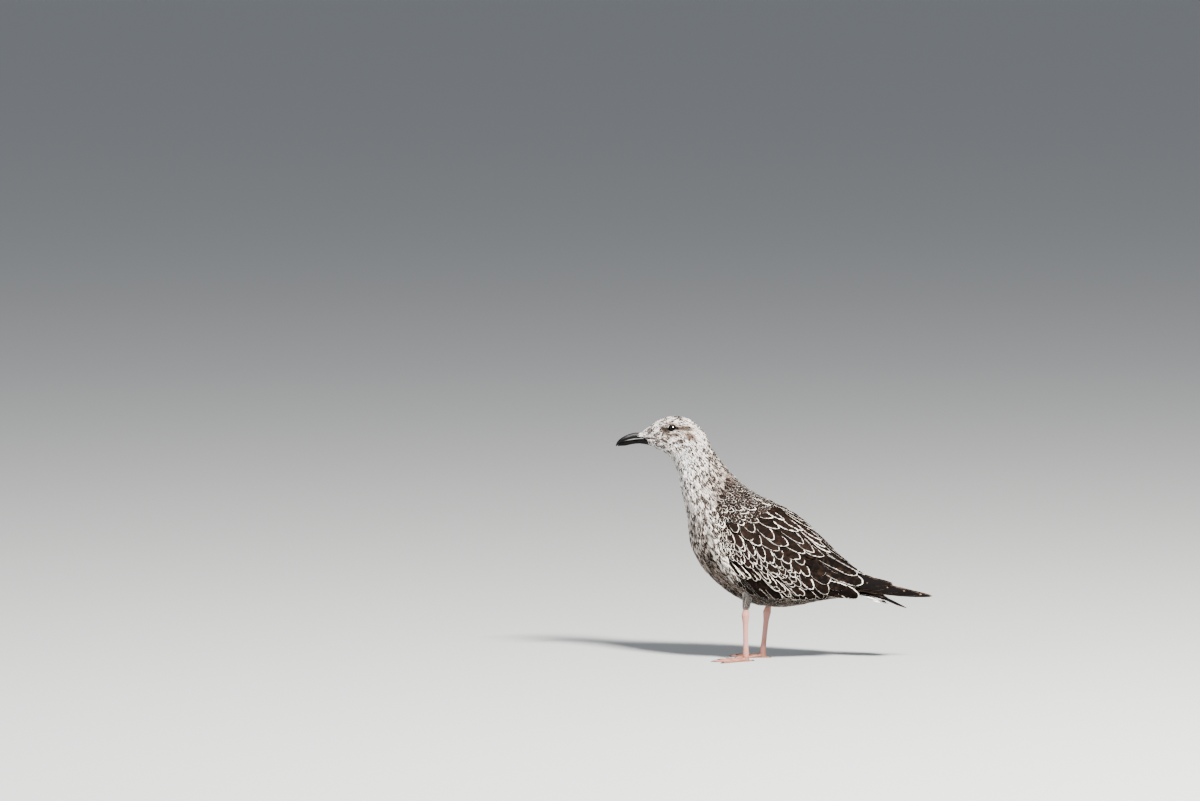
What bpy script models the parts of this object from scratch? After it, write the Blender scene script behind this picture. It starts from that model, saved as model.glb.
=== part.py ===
"""A young large gull, life size, standing with its wings folded.

The bird looks along -X, +Z is up, and the origin lies on the ground in the middle of the bird's outline.
Its left side is the -Y side. The head, neck and trunk are one lofted body, parted by thin plane cuts.
The folded wings are pads that lie on that body: shoulder feathers, coverts and tertials.
"""

import math

import bmesh
import bpy
from mathutils import Matrix, Vector

MM = 0.001
LEFT, RIGHT = -1, 1
SIDES = {"left": LEFT, "right": RIGHT}

# The loft of head, neck and trunk: name, back (x, z), underside (x, z), half width, in millimetres.
BODY_STATIONS = [
    ("bill_base", (-201.8, 353.2), (-190.2, 331.2), 8.6),
    ("lores", (-191.7, 361.0), (-183.2, 328.6), 13.5),
    ("eye", (-166.2, 375.9), (-167.7, 321.3), 20.5),
    ("crown", (-134.4, 375.4), (-156.9, 311.6), 24.0),
    ("nape", (-108.0, 354.9), (-151.1, 300.2), 25.5),
    ("neck_top", (-93.3, 326.3), (-146.3, 287.1), 27.5),
    ("neck", (-70.1, 294.5), (-141.4, 261.2), 34.5),
    ("shoulder", (-34.4, 261.9), (-132.4, 220.9), 47.0),
    ("breast", (1.2, 239.9), (-125.9, 172.8), 56.5),
    ("keel", (32.2, 221.7), (-94.1, 125.5), 59.5),
    ("belly", (58.6, 197.6), (-42.2, 89.9), 55.5),
    ("hips", (83.4, 169.7), (15.2, 81.4), 46.0),
    ("vent", (108.2, 146.5), (68.7, 90.7), 33.5),
    ("rump", (131.4, 128.2), (112.8, 97.6), 22.5),
    ("tail_base", (140.7, 121.7), (128.3, 98.2), 17.5),
]
STATION = {row[0]: index for index, row in enumerate(BODY_STATIONS)}
LAST_STATION = len(BODY_STATIONS) - 1

HEAD_CUT = STATION["neck_top"] - 0.45  # where the head ends and the neck starts
NECK_CUT = STATION["shoulder"] - 0.25  # where the neck ends and the trunk starts
PART_GAP = 0.35 * MM  # the room that touching pieces keep
BODY_SEGMENTS = 24
RINGS_PER_STATION = 3

# Where the folded wing's feather groups end on the body. Each row is a station's place and a share of the
# way from the back (0) to the underside (1).
SCAPULAR_EDGE = [(6.4, 0.34), (7.0, 0.45), (8.0, 0.43), (9.0, 0.39), (10.0, 0.30), (11.0, 0.21), (12.3, 0.10)]
WING_EDGE = [(7.2, 0.52), (8.0, 0.65), (9.0, 0.77), (10.0, 0.80), (11.0, 0.78), (12.3, 0.86), (14.1, 0.92)]
SCAPULAR_SPAN = (6.5, 12.0)
WING_SPAN = (7.25, 12.0)
TERTIAL_SPAN = (12.05, 13.96)
RIDGE_SHARE = 0.0002  # how near the midline of the back the feather groups come
GROUP_GAP = 0.007  # the share left free between two groups

# How far each group stands off the body, in millimetres, by station.
SCAPULAR_HEIGHT = [(6.5, 2.0), (8.0, 5.0), (9.0, 8.0), (10.0, 9.5), (11.0, 9.5), (12.0, 9.0)]
WING_HEIGHT = [(7.2, 1.5), (8.0, 7.0), (9.0, 9.5), (10.0, 10.0), (11.0, 9.5), (12.2, 8.0)]
TERTIAL_HEIGHT = [(12.0, 8.5), (13.0, 9.0), (14.0, 8.0)]
PAD_RIM = 2.2 * MM  # how far a pad's rim stands off the body
PAD_SINK = 1.6 * MM  # how deep a pad is drawn into the body before the body is cut out of it

# The blade of folded primaries: upper edge (x, y, z), lower edge (x, y, z), thickness, in millimetres.
PRIMARY_STATIONS = [
    ((147.4, 3.6, 131.2), (132.6, 23.6, 97.4), 6.0),
    ((160.0, 4.0, 128.0), (157.0, 24.2, 97.8), 5.0),
    ((178.5, 5.2, 122.8), (177.0, 20.6, 101.8), 3.6),
    ((204.5, 6.2, 114.0), (203.5, 14.4, 102.4), 2.4),
    ((228.0, 7.2, 106.0), (227.0, 10.6, 100.0), 1.6),
    ((243.4, 8.0, 99.3), (242.6, 8.8, 97.9), 0.8),
]

# The tail: upper side (x, z), lower side (x, z), half width, in millimetres.
TAIL_STATIONS = [
    ((135.4, 109.5), (129.0, 97.6), 15.0),
    ((159.5, 101.5), (160.6, 91.5), 18.0),
    ((180.6, 96.2), (180.0, 92.4), 21.5),
    ((195.2, 89.2), (194.2, 86.6), 25.0),
    ((208.0, 80.8), (207.2, 79.2), 26.5),
]

# The two halves of the bill: upper side (x, z), lower side (x, z), half width, in millimetres.
BILL_UPPER_STATIONS = [
    ((-201.7, 351.8), (-196.3, 341.6), 7.2),
    ((-213.0, 352.2), (-208.6, 340.8), 6.2),
    ((-222.9, 349.9), (-219.8, 339.4), 5.2),
    ((-230.5, 346.4), (-228.2, 338.0), 4.5),
    ((-237.0, 342.2), (-234.6, 336.2), 3.6),
    ((-241.4, 337.4), (-239.4, 333.6), 2.4),
    ((-243.4, 331.9), (-242.3, 330.9), 0.7),
]
BILL_LOWER_STATIONS = [
    ((-196.0, 341.0), (-191.6, 332.7), 6.2),
    ((-208.4, 340.2), (-206.3, 335.0), 5.2),
    ((-219.6, 338.8), (-219.2, 333.7), 4.4),
    ((-227.9, 337.4), (-227.6, 331.7), 3.9),
    ((-234.2, 335.6), (-235.2, 331.4), 2.8),
    ((-239.0, 333.0), (-240.2, 331.1), 1.0),
]
BILL_UPPER_WIDEST = 0.80  # share of a section's height, from above, where it is widest
BILL_LOWER_WIDEST = 0.22

EYE_CENTRE = Vector((-155.9, 16.2, 359.9)) * MM  # of the right eye
EYE_RADIUS = 5.8 * MM

# Legs: each side's hock and ankle, and the radius down the leg by height.
THIGH_TOP_Z = 112 * MM
THIGH_END_Z = 80 * MM
HOCK_Z = 71 * MM
ANKLE_Z = 8.6 * MM
LEG_PLACES = {
    "left": {"hip": (-35, -27), "knee_end": (-42.0, -27), "hock": (-42.9, -27.5), "ankle": (-42.2, -28.5)},
    "right": {"hip": (0, 26), "knee_end": (-6.5, 25.5), "hock": (-8.6, 26), "ankle": (-15.0, 27.5)},
}
THIGH_RADII = (13.5 * MM, 6.4 * MM)
LEG_SECTIONS = [(79.6, 4.3), (75.5, 4.8), (71.0, 5.7), (66.0, 4.9), (58.0, 3.8), (44.0, 3.4), (26.0, 3.4), (15.5, 3.9), (8.95, 4.7)]
LEG_FLATTENING = 0.80  # a gull's shank is narrower from side to side

TOE_OUT = {"left": math.radians(12), "right": math.radians(9)}
TOES = {  # angle from the middle toe towards the outside, length, radius at the root, in millimetres
    "inner": (math.radians(-29), 41, 2.5),
    "middle": (0.0, 49, 2.7),
    "outer": (math.radians(28), 45, 2.5),
    "hind": (math.radians(187), 10, 1.7),
}
WEB_REACH = 0.97  # how far along a toe the web is joined to it
WEB_HOLLOW = 0.80  # how far the web's free edge reaches midway between two toes
WEB_THICKNESS = 1.5 * MM
SOLE_SINK = 0.75 * MM  # the toes' undersides are pressed this far into the ground and cut flat
CLAW_LENGTH = 6.5 * MM
CLAW_RADIUS = 1.25 * MM

COLOURS = {
    "head_feathers": ((0.56, 0.50, 0.44), 0.8),
    "body_feathers": ((0.42, 0.36, 0.31), 0.8),
    "wing_feathers": ((0.12, 0.085, 0.065), 0.7),
    "flight_feathers": ((0.022, 0.019, 0.018), 0.55),
    "bill_horn": ((0.035, 0.032, 0.033), 0.35),
    "eye_brown": ((0.012, 0.008, 0.006), 0.08),
    "leg_skin": ((0.62, 0.40, 0.38), 0.5),
    "claw_horn": ((0.03, 0.026, 0.024), 0.4),
}


# ---------------------------------------------------------------- scene and materials


def clear_scene():
    for obj in list(bpy.data.objects):
        bpy.data.objects.remove(obj)


def new_collection(name, hidden=False):
    collection = bpy.data.collections.new(name)
    collection.hide_render = hidden
    bpy.context.scene.collection.children.link(collection)
    return collection


def make_materials():
    made = {}
    for name, (colour, roughness) in COLOURS.items():
        material = bpy.data.materials.new(name)
        material.use_nodes = True
        shader = material.node_tree.nodes["Principled BSDF"]
        shader.inputs["Base Color"].default_value = (*colour, 1.0)
        shader.inputs["Roughness"].default_value = roughness
        shader.inputs["Metallic"].default_value = 0.0
        made[name] = material
    return made


# ---------------------------------------------------------------- interpolation


def catmull_rom(rows, place):
    """The row of numbers at a place along the rows, on a smooth curve through them."""
    last = len(rows) - 1
    index = min(max(int(math.floor(place)), 0), last - 1)
    t = place - index
    before, start, end, after = (rows[min(max(index + k, 0), last)] for k in (-1, 0, 1, 2))
    return [
        0.5 * (2 * b + (c - a) * t + (2 * a - 5 * b + 4 * c - d) * t * t + (3 * b - a - 3 * c + d) * t**3)
        for a, b, c, d in zip(before, start, end, after)
    ]


def between(table, place):
    """The value at a place in a table of (place, value) rows, eased between them."""
    if place <= table[0][0]:
        return table[0][1]
    for (start, low), (end, high) in zip(table, table[1:]):
        if place <= end:
            t = (place - start) / (end - start)
            return low + (high - low) * t * t * (3 - 2 * t)
    return table[-1][1]


# ---------------------------------------------------------------- the body's surface


def section_rows(stations):
    """Stations of (upper, lower, half width) in millimetres as rows of metres."""
    return [[MM * v for v in (*upper, *lower, width)] for upper, lower, width in stations]


BODY_ROWS = section_rows([row[1:] for row in BODY_STATIONS])


def ring_point(row, angle, widest=0.5):
    """A point of a section. The angle is 0 at the upper side and pi at the lower side, by way of +Y."""
    upper, lower = Vector((row[0], 0, row[1])), Vector((row[2], 0, row[3]))
    height = math.cos(angle)
    share = widest * (1 - height) if height > 0 else widest - (1 - widest) * height
    point = upper.lerp(lower, share)
    point.y = row[4] * math.sin(angle)
    return point


def body_point(place, angle):
    return ring_point(catmull_rom(BODY_ROWS, place), angle)


def body_normal(place, angle):
    """The outward normal of the body's surface."""
    step = 0.02
    along = body_point(min(place + step, LAST_STATION), angle) - body_point(max(place - step, 0), angle)
    across = body_point(place, angle + step) - body_point(place, angle - step)
    return along.cross(across).normalized()


# ---------------------------------------------------------------- building solids


def finish_object(name, mesh, material, collection):
    obj = bpy.data.objects.new(name, mesh)
    collection.objects.link(obj)
    mesh.materials.clear()
    mesh.materials.append(material)
    mesh.shade_smooth()
    mesh.set_sharp_from_angle(angle=math.radians(50))
    return obj


def mesh_from(bm, name):
    bmesh.ops.recalc_face_normals(bm, faces=bm.faces)
    mesh = bpy.data.meshes.new(name)
    bm.to_mesh(mesh)
    bm.free()
    return mesh


def loft(name, rings, material, collection):
    """A closed solid through rings of points, with a flat cap on each end."""
    bm = bmesh.new()
    loops = [[bm.verts.new(point) for point in ring] for ring in rings]
    for first, second in zip(loops, loops[1:]):
        for i in range(len(first)):
            j = (i + 1) % len(first)
            bm.faces.new((first[i], first[j], second[j], second[i]))
    bm.faces.new(loops[0])
    bm.faces.new(list(reversed(loops[-1])))
    return finish_object(name, mesh_from(bm, name), material, collection)


def slab(name, outer, inner, material, collection):
    """A closed solid between two grids of points that have the same rows and columns."""
    bm = bmesh.new()
    sides = [[[bm.verts.new(point) for point in row] for row in grid] for grid in (outer, inner)]
    rows, columns = len(outer), len(outer[0])
    for grid in sides:
        for i in range(rows - 1):
            for j in range(columns - 1):
                bm.faces.new((grid[i][j], grid[i + 1][j], grid[i + 1][j + 1], grid[i][j + 1]))
    rim = [(i, 0) for i in range(rows)]
    rim += [(rows - 1, j) for j in range(1, columns)]
    rim += [(i, columns - 1) for i in range(rows - 2, -1, -1)]
    rim += [(0, j) for j in range(columns - 2, 0, -1)]
    top, bottom = sides
    for (i, j), (k, m) in zip(rim, rim[1:] + rim[:1]):
        bm.faces.new((top[i][j], top[k][m], bottom[k][m], bottom[i][j]))
    return finish_object(name, mesh_from(bm, name), material, collection)


def as_mesh(obj):
    """Replaces a curve, or an object with modifiers, by its evaluated mesh, with loose caps welded."""
    bpy.context.view_layer.update()
    graph = bpy.context.evaluated_depsgraph_get()
    mesh = bpy.data.meshes.new_from_object(obj.evaluated_get(graph))
    mesh.transform(obj.matrix_world)
    bm = bmesh.new()
    bm.from_mesh(mesh)
    bmesh.ops.remove_doubles(bm, verts=bm.verts, dist=0.01 * MM)
    bm.to_mesh(mesh)
    bm.free()
    name, collections = obj.name, list(obj.users_collection)
    bpy.data.objects.remove(obj)
    made = bpy.data.objects.new(name, mesh)
    for collection in collections:
        collection.objects.link(made)
    return made


def tube(name, points, radii, material, collection, roundness=3):
    """A round tube of changing radius through some points, as a mesh with closed ends."""
    curve = bpy.data.curves.new(name, "CURVE")
    curve.dimensions = "3D"
    curve.bevel_depth = 1.0
    curve.bevel_resolution = roundness
    curve.use_fill_caps = True
    spline = curve.splines.new("POLY")
    spline.points.add(len(points) - 1)
    for target, point, radius in zip(spline.points, points, radii):
        target.co = (*point, 1)
        target.radius = radius
    curve.materials.append(material)
    obj = bpy.data.objects.new(name, curve)
    collection.objects.link(obj)
    made = as_mesh(obj)
    made.data.shade_smooth()
    return made


def boolean(obj, other, operation):
    """Joins another solid to obj, or cuts it away, and applies the result. The other stays as a helper."""
    modifier = obj.modifiers.new(operation.lower(), "BOOLEAN")
    modifier.operation = operation
    modifier.object = other
    modifier.solver = "EXACT"
    other.hide_render = True
    other.display_type = "WIRE"
    return as_mesh(obj)


def keep_largest_piece(obj):
    """Drops the crumbs that a cut may leave beside the main body."""
    bm = bmesh.new()
    bm.from_mesh(obj.data)
    seen, islands = set(), []
    for start in bm.verts:
        if start in seen:
            continue
        seen.add(start)
        stack, island = [start], []
        while stack:
            vert = stack.pop()
            island.append(vert)
            for edge in vert.link_edges:
                other = edge.other_vert(vert)
                if other not in seen:
                    seen.add(other)
                    stack.append(other)
        islands.append(island)
    islands.sort(key=len)
    for island in islands[:-1]:
        bmesh.ops.delete(bm, geom=island, context="VERTS")
    bm.to_mesh(obj.data)
    bm.free()


def cut_flat(obj, height):
    """Cuts away all of a solid below a height and closes it with a flat face."""
    bm = bmesh.new()
    bm.from_mesh(obj.data)
    everything = bm.verts[:] + bm.edges[:] + bm.faces[:]
    bmesh.ops.bisect_plane(
        bm, geom=everything, plane_co=(0, 0, height), plane_no=(0, 0, 1), clear_inner=True
    )
    open_edges = [edge for edge in bm.edges if edge.is_boundary]
    bmesh.ops.contextual_create(bm, geom=open_edges)
    bm.to_mesh(obj.data)
    bm.free()


# ---------------------------------------------------------------- head, neck, trunk and tail


def place_after(place, gap):
    """The place along the body where every point of the section is at least a gap past this place."""
    step = 0.001
    after = place + step
    while min((body_point(after, a) - body_point(place, a)).length for a in (0, math.pi / 2, math.pi)) < gap:
        after += step
    return after


def body_rings(start, end):
    count = max(2, round((end - start) * RINGS_PER_STATION))
    places = [start + (end - start) * i / count for i in range(count + 1)]
    turn = 2 * math.pi / BODY_SEGMENTS
    return [[body_point(place, turn * k) for k in range(BODY_SEGMENTS)] for place in places]


def make_body(materials, parts, helpers):
    """Head, neck and trunk, lofted from one surface and parted by flat cuts.

    The skin is neck and trunk in one piece and a gap larger, to cut what lies against them.
    """
    head = loft("head", body_rings(0, HEAD_CUT), materials["head_feathers"], parts)
    neck_rings = body_rings(place_after(HEAD_CUT, PART_GAP), NECK_CUT)
    trunk_rings = body_rings(place_after(NECK_CUT, PART_GAP), LAST_STATION)
    loft("neck", neck_rings, materials["head_feathers"], parts)
    loft("trunk", trunk_rings, materials["body_feathers"], parts)
    skin = loft("skin", neck_rings + trunk_rings, materials["body_feathers"], helpers)
    grow = skin.modifiers.new("grow", "DISPLACE")
    grow.strength = PART_GAP
    grow.mid_level = 0
    return head, as_mesh(skin)


def flat_sections(stations, widest, steps, segments):
    """Rings through stations of upper side, lower side and half width."""
    rows = section_rows(stations)
    count = (len(rows) - 1) * steps
    turn = 2 * math.pi / segments
    sections = (catmull_rom(rows, i / steps) for i in range(count + 1))
    return [[ring_point(row, turn * k, widest) for k in range(segments)] for row in sections]


def make_tail(materials, parts):
    rings = flat_sections(TAIL_STATIONS, widest=0.5, steps=2, segments=14)
    loft("tail", rings, materials["flight_feathers"], parts)


# ---------------------------------------------------------------- head details


def make_bill(materials, parts):
    upper = flat_sections(BILL_UPPER_STATIONS, BILL_UPPER_WIDEST, steps=2, segments=14)
    lower = flat_sections(BILL_LOWER_STATIONS, BILL_LOWER_WIDEST, steps=2, segments=12)
    loft("bill_upper", upper, materials["bill_horn"], parts)
    loft("bill_lower", lower, materials["bill_horn"], parts)


def make_ball(name, centre, radius, collection):
    bpy.ops.mesh.primitive_uv_sphere_add(segments=14, ring_count=8, radius=radius, location=centre)
    ball = bpy.context.object
    ball.name = name
    ball.data.transform(Matrix.Translation(ball.location))
    ball.location = (0, 0, 0)
    for owner in list(ball.users_collection):
        owner.objects.unlink(ball)
    collection.objects.link(ball)
    return ball


def make_eyes(head, materials, parts, helpers):
    """Eyeballs, each in a socket cut into the head."""
    for side, sign in SIDES.items():
        centre = Vector((EYE_CENTRE.x, sign * EYE_CENTRE.y, EYE_CENTRE.z))
        socket = make_ball(f"socket_{side}", centre, EYE_RADIUS + PART_GAP, helpers)
        head = boolean(head, socket, "DIFFERENCE")
        eye = make_ball(f"eye_{side}", centre, EYE_RADIUS, parts)
        eye.data.materials.append(materials["eye_brown"])
        eye.data.shade_smooth()
    return head


# ---------------------------------------------------------------- folded wings


def share_angle(share):
    """The angle round a section at a share of the way from the back to the underside."""
    return math.acos(1 - 2 * min(max(share, 0.0), 1.0))


def rounded(t, front, rear):
    """1 along the middle of a span, falling to 0 on a quarter circle at each end."""
    if t < front:
        return math.sqrt(max(0.0, 1 - (1 - t / front) ** 2))
    if t > 1 - rear:
        return math.sqrt(max(0.0, 1 - ((t - 1 + rear) / rear) ** 2))
    return 1.0


def feather_pad(name, side, span, upper_edge, lower_edge, height, ends, plan, skin, material, collection):
    """A closed pad that lies on the body between two edges and swells to a height between them.

    The ends are the shares of the span over which the outline rounds at the front and at the rear, the
    shares over which the height rises and falls, and the share of the height kept along the upper edge.
    """
    rows, columns = plan
    front, rear, rise, fall, ridge = ends
    outer, inner = [], []
    for i in range(rows + 1):
        t = i / rows
        place = span[0] + (span[1] - span[0]) * t
        top, bottom = upper_edge(place), lower_edge(place)
        middle, half = (top + bottom) / 2, (bottom - top) / 2
        reach = max(0.18, rounded(t, front, rear))
        outer_row, inner_row = [], []
        for j in range(columns + 1):
            v = 2 * j / columns - 1
            angle = side * share_angle(middle + half * reach * v)
            swell = (1 - abs(v) ** 5) if v > 0 else (1 - (1 - ridge) * abs(v) ** 5)
            lift = PAD_RIM + max(0.0, MM * between(height, place) - PAD_RIM) * swell * rounded(t, rise, fall)
            ground, normal = body_point(place, angle), body_normal(place, abs(angle))
            normal.y *= side
            outer_row.append(ground + normal * lift)
            inner_row.append(ground - normal * PAD_SINK)
        outer.append(outer_row)
        inner.append(inner_row)
    pad = boolean(slab(name, outer, inner, material, collection), skin, "DIFFERENCE")
    keep_largest_piece(pad)
    return pad


def make_wing(side_name, skin, materials, parts):
    side = SIDES[side_name]
    feather_pad(
        f"scapulars_{side_name}", side, SCAPULAR_SPAN,
        upper_edge=lambda place: RIDGE_SHARE + 0.05 * max(0.0, 9.3 - place) / 3,
        lower_edge=lambda place: between(SCAPULAR_EDGE, place) - GROUP_GAP,
        height=SCAPULAR_HEIGHT, ends=(0.35, 0.0, 0.16, 0.0, 0.3), plan=(15, 7),
        skin=skin, material=materials["wing_feathers"], collection=parts,
    )
    feather_pad(
        f"wing_{side_name}", side, WING_SPAN,
        upper_edge=lambda place: between(SCAPULAR_EDGE, place) + GROUP_GAP,
        lower_edge=lambda place: between(WING_EDGE, place),
        height=WING_HEIGHT, ends=(0.22, 0.0, 0.16, 0.0, 0.6), plan=(14, 8),
        skin=skin, material=materials["wing_feathers"], collection=parts,
    )
    feather_pad(
        f"tertials_{side_name}", side, TERTIAL_SPAN,
        upper_edge=lambda place: RIDGE_SHARE,
        lower_edge=lambda place: between(WING_EDGE, place),
        height=TERTIAL_HEIGHT, ends=(0.0, 0.0, 0.0, 0.08, 0.9), plan=(7, 8),
        skin=skin, material=materials["wing_feathers"], collection=parts,
    )
    make_primaries(side_name, materials, parts)


def make_primaries(side_name, materials, parts):
    """The long blade of folded primaries behind the tertials, leaning over the tail like half a roof."""
    side, steps, segments = SIDES[side_name], 2, 12
    rows = [[MM * v for v in (*upper, *lower, thick)] for upper, lower, thick in PRIMARY_STATIONS]
    rings = []
    for i in range((len(rows) - 1) * steps + 1):
        row = catmull_rom(rows, i / steps)
        upper, lower = Vector(row[0:3]), Vector(row[3:6])
        middle, half = (upper + lower) / 2, (upper - lower) / 2
        outward = Vector((1, 0, 0)).cross(half).normalized() * -1
        ring = []
        for k in range(segments):
            angle = 2 * math.pi * k / segments
            point = middle + half * math.cos(angle) + outward * (row[6] / 2) * math.sin(angle)
            point.y *= side
            ring.append(point)
        rings.append(ring)
    loft(f"primaries_{side_name}", rings, materials["flight_feathers"], parts)


# ---------------------------------------------------------------- legs and feet


def make_thigh(side_name, skin, materials, parts):
    """The feathered stub of the leg, cut to meet the belly."""
    place = LEG_PLACES[side_name]
    top = Vector((place["hip"][0] * MM, place["hip"][1] * MM, THIGH_TOP_Z))
    end = Vector((place["knee_end"][0] * MM, place["knee_end"][1] * MM, THIGH_END_Z))
    steps = 6
    points, radii = [], []
    for i in range(steps + 1):
        t = i / steps
        point = top.lerp(end, t)
        point.x = top.x + (end.x - top.x) * math.sin(t * math.pi / 2)
        points.append(point)
        radii.append(THIGH_RADII[0] + (THIGH_RADII[1] - THIGH_RADII[0]) * t**0.8)
    thigh = tube(f"thigh_{side_name}", points, radii, materials["body_feathers"], parts)
    thigh = boolean(thigh, skin, "DIFFERENCE")
    keep_largest_piece(thigh)
    cut_above = THIGH_END_Z + 0.1 * MM
    cut_flat(thigh, cut_above)
    return thigh


def make_leg(side_name, materials, parts):
    """The bare leg from the feathers to the ankle, by way of the hock."""
    place = LEG_PLACES[side_name]
    route = [
        (THIGH_END_Z, place["knee_end"]),
        (HOCK_Z, place["hock"]),
        (ANKLE_Z, place["ankle"]),
    ]
    xs = [(-z, xy[0] * MM) for z, xy in route]
    ys = [(-z, xy[1] * MM) for z, xy in route]
    points, radii = [], []
    for height, radius in LEG_SECTIONS:
        z = height * MM
        points.append(Vector((linear(xs, -z), linear(ys, -z), z)))
        radii.append(radius * MM)
    leg = tube(f"leg_{side_name}", points, radii, materials["leg_skin"], parts)
    centre = place["hock"][1] * MM
    for vert in leg.data.vertices:
        vert.co.y = centre + (vert.co.y - centre) * LEG_FLATTENING
    level_ends(leg, LEG_SECTIONS[0][0] * MM, LEG_SECTIONS[-1][0] * MM)


def linear(table, place):
    for (start, low), (end, high) in zip(table, table[1:]):
        if place <= end:
            return low + (high - low) * (place - start) / (end - start)
    return table[-1][1]


def level_ends(obj, top, bottom):
    """Makes the two ends of a tube level, so that they meet their neighbours face to face."""
    reach = 1.5 * MM
    for vert in obj.data.vertices:
        if abs(vert.co.z - top) < reach:
            vert.co.z = top
        elif abs(vert.co.z - bottom) < reach:
            vert.co.z = bottom


def toe_direction(side_name, toe):
    """Unit vector along a toe, on the ground."""
    side = SIDES[side_name]
    angle = TOE_OUT[side_name] + TOES[toe][0]
    return Vector((-math.cos(angle), side * math.sin(angle), 0))


def make_web(side_name, ankle, materials, helpers):
    """The web between the three front toes, as a flat outline with hollow free edges."""
    curve = bpy.data.curves.new(f"web_{side_name}", "CURVE")
    curve.dimensions = "2D"
    curve.fill_mode = "BOTH"
    curve.extrude = WEB_THICKNESS / 2
    outline = [Vector((0, 0, 0)) - toe_direction(side_name, "middle") * 2 * MM]
    toes = ["inner", "middle", "outer"]
    for first, second in zip(toes, toes[1:] + [None]):
        tip = toe_direction(side_name, first) * TOES[first][1] * WEB_REACH * MM
        outline.append(tip)
        if second:
            other = toe_direction(side_name, second) * TOES[second][1] * WEB_REACH * MM
            for t in (0.2, 0.4, 0.6, 0.8):
                dip = 1 - (1 - WEB_HOLLOW) * 4 * t * (1 - t)
                outline.append(tip.lerp(other, t) * dip)
    spline = curve.splines.new("POLY")
    spline.points.add(len(outline) - 1)
    for target, point in zip(spline.points, outline):
        target.co = (*point, 1)
    spline.use_cyclic_u = True
    curve.materials.append(materials["leg_skin"])
    web = bpy.data.objects.new(f"web_{side_name}", curve)
    web.location = (ankle.x, ankle.y, 0.3 * MM)
    helpers.objects.link(web)
    return as_mesh(web)


def toe_points(side_name, toe, ankle):
    """Points and radii along a toe, with its joints a little thicker than the bones between them."""
    along = toe_direction(side_name, toe)
    _, length, radius = TOES[toe]
    bones = 3 if length > 20 else 1
    steps = bones * 2
    points, radii = [], []
    for i in range(steps + 1):
        t = i / steps
        swelling = 1 + 0.16 * math.cos(2 * math.pi * bones * t)
        size = radius * MM * (1 - 0.36 * t) * swelling
        arch = 2.4 * MM * math.exp(-5 * t)
        points.append(Vector((ankle.x, ankle.y, 0)) + along * length * MM * t + Vector((0, 0, size - SOLE_SINK + arch)))
        radii.append(size)
    return points, radii


def make_foot(side_name, materials, parts, helpers):
    """Palm, four toes and web as one solid, with a flat sole at ground level."""
    x, y = LEG_PLACES[side_name]["ankle"]
    ankle = Vector((x * MM, y * MM, ANKLE_Z))
    palm_points = [Vector((ankle.x, ankle.y, z * MM)) for z in (8.6, 6.0, 3.0, -0.6)]
    foot = tube(f"foot_{side_name}", palm_points, [r * MM for r in (4.3, 4.4, 4.9, 5.2)], materials["leg_skin"], parts)
    for toe in TOES:
        points, radii = toe_points(side_name, toe, ankle)
        piece = tube(f"toe_{side_name}_{toe}", points, radii, materials["leg_skin"], helpers, roundness=2)
        foot = boolean(foot, piece, "UNION")
    foot = boolean(foot, make_web(side_name, ankle, materials, helpers), "UNION")
    cut_flat(foot, 0.0)
    foot.data.shade_smooth()
    foot.data.set_sharp_from_angle(angle=math.radians(40))


def make_claws(side_name, materials, parts):
    """A short hooked claw at the end of each toe, just clear of the ground."""
    x, y = LEG_PLACES[side_name]["ankle"]
    ankle = Vector((x * MM, y * MM, ANKLE_Z))
    for toe in TOES:
        along = toe_direction(side_name, toe)
        toe_route, toe_radii = toe_points(side_name, toe, ankle)
        share = min(1.0, toe_radii[-1] / CLAW_RADIUS)
        start = toe_route[-1] + along * PART_GAP
        length = CLAW_LENGTH * (0.6 if toe == "hind" else 1.0)
        steps = 4
        points, radii = [], []
        for i in range(steps + 1):
            t = i / steps
            radius = CLAW_RADIUS * share * (1 - 0.72 * t)
            height = max(radius + 0.15 * MM, start.z + 0.5 * MM * math.sin(math.pi * t) - t * t * start.z)
            points.append(Vector((start.x, start.y, height)) + along * length * t)
            radii.append(radius)
        claw = tube(f"claw_{side_name}_{toe}", points, radii, materials["claw_horn"], parts, roundness=2)
        for vert in claw.data.vertices:
            behind = (vert.co - start).dot(along)
            if behind < 0:
                vert.co -= along * behind


# ---------------------------------------------------------------- the whole bird


def main():
    clear_scene()
    materials = make_materials()
    parts = new_collection("gull")
    helpers = new_collection("helpers", hidden=True)
    head, skin = make_body(materials, parts, helpers)
    make_eyes(head, materials, parts, helpers)
    make_bill(materials, parts)
    make_tail(materials, parts)
    for side_name in SIDES:
        make_wing(side_name, skin, materials, parts)
        make_thigh(side_name, skin, materials, parts)
        make_leg(side_name, materials, parts)
        make_foot(side_name, materials, parts, helpers)
        make_claws(side_name, materials, parts)


main()
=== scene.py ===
# %% [markdown]
# # A young gull, standing
# A museum-like model of a juvenile large gull. The plain solids are already placed in one
# frame. Here they get skin, feathers, bill, eyes and legs. The bird faces -X, its left side
# is at -Y, up is +Z, and lengths are in metres unless a name or a comment says millimetres.

import math

import bpy
import numpy as np
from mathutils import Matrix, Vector
from mathutils.bvhtree import BVHTree
from mathutils.kdtree import KDTree


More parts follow.
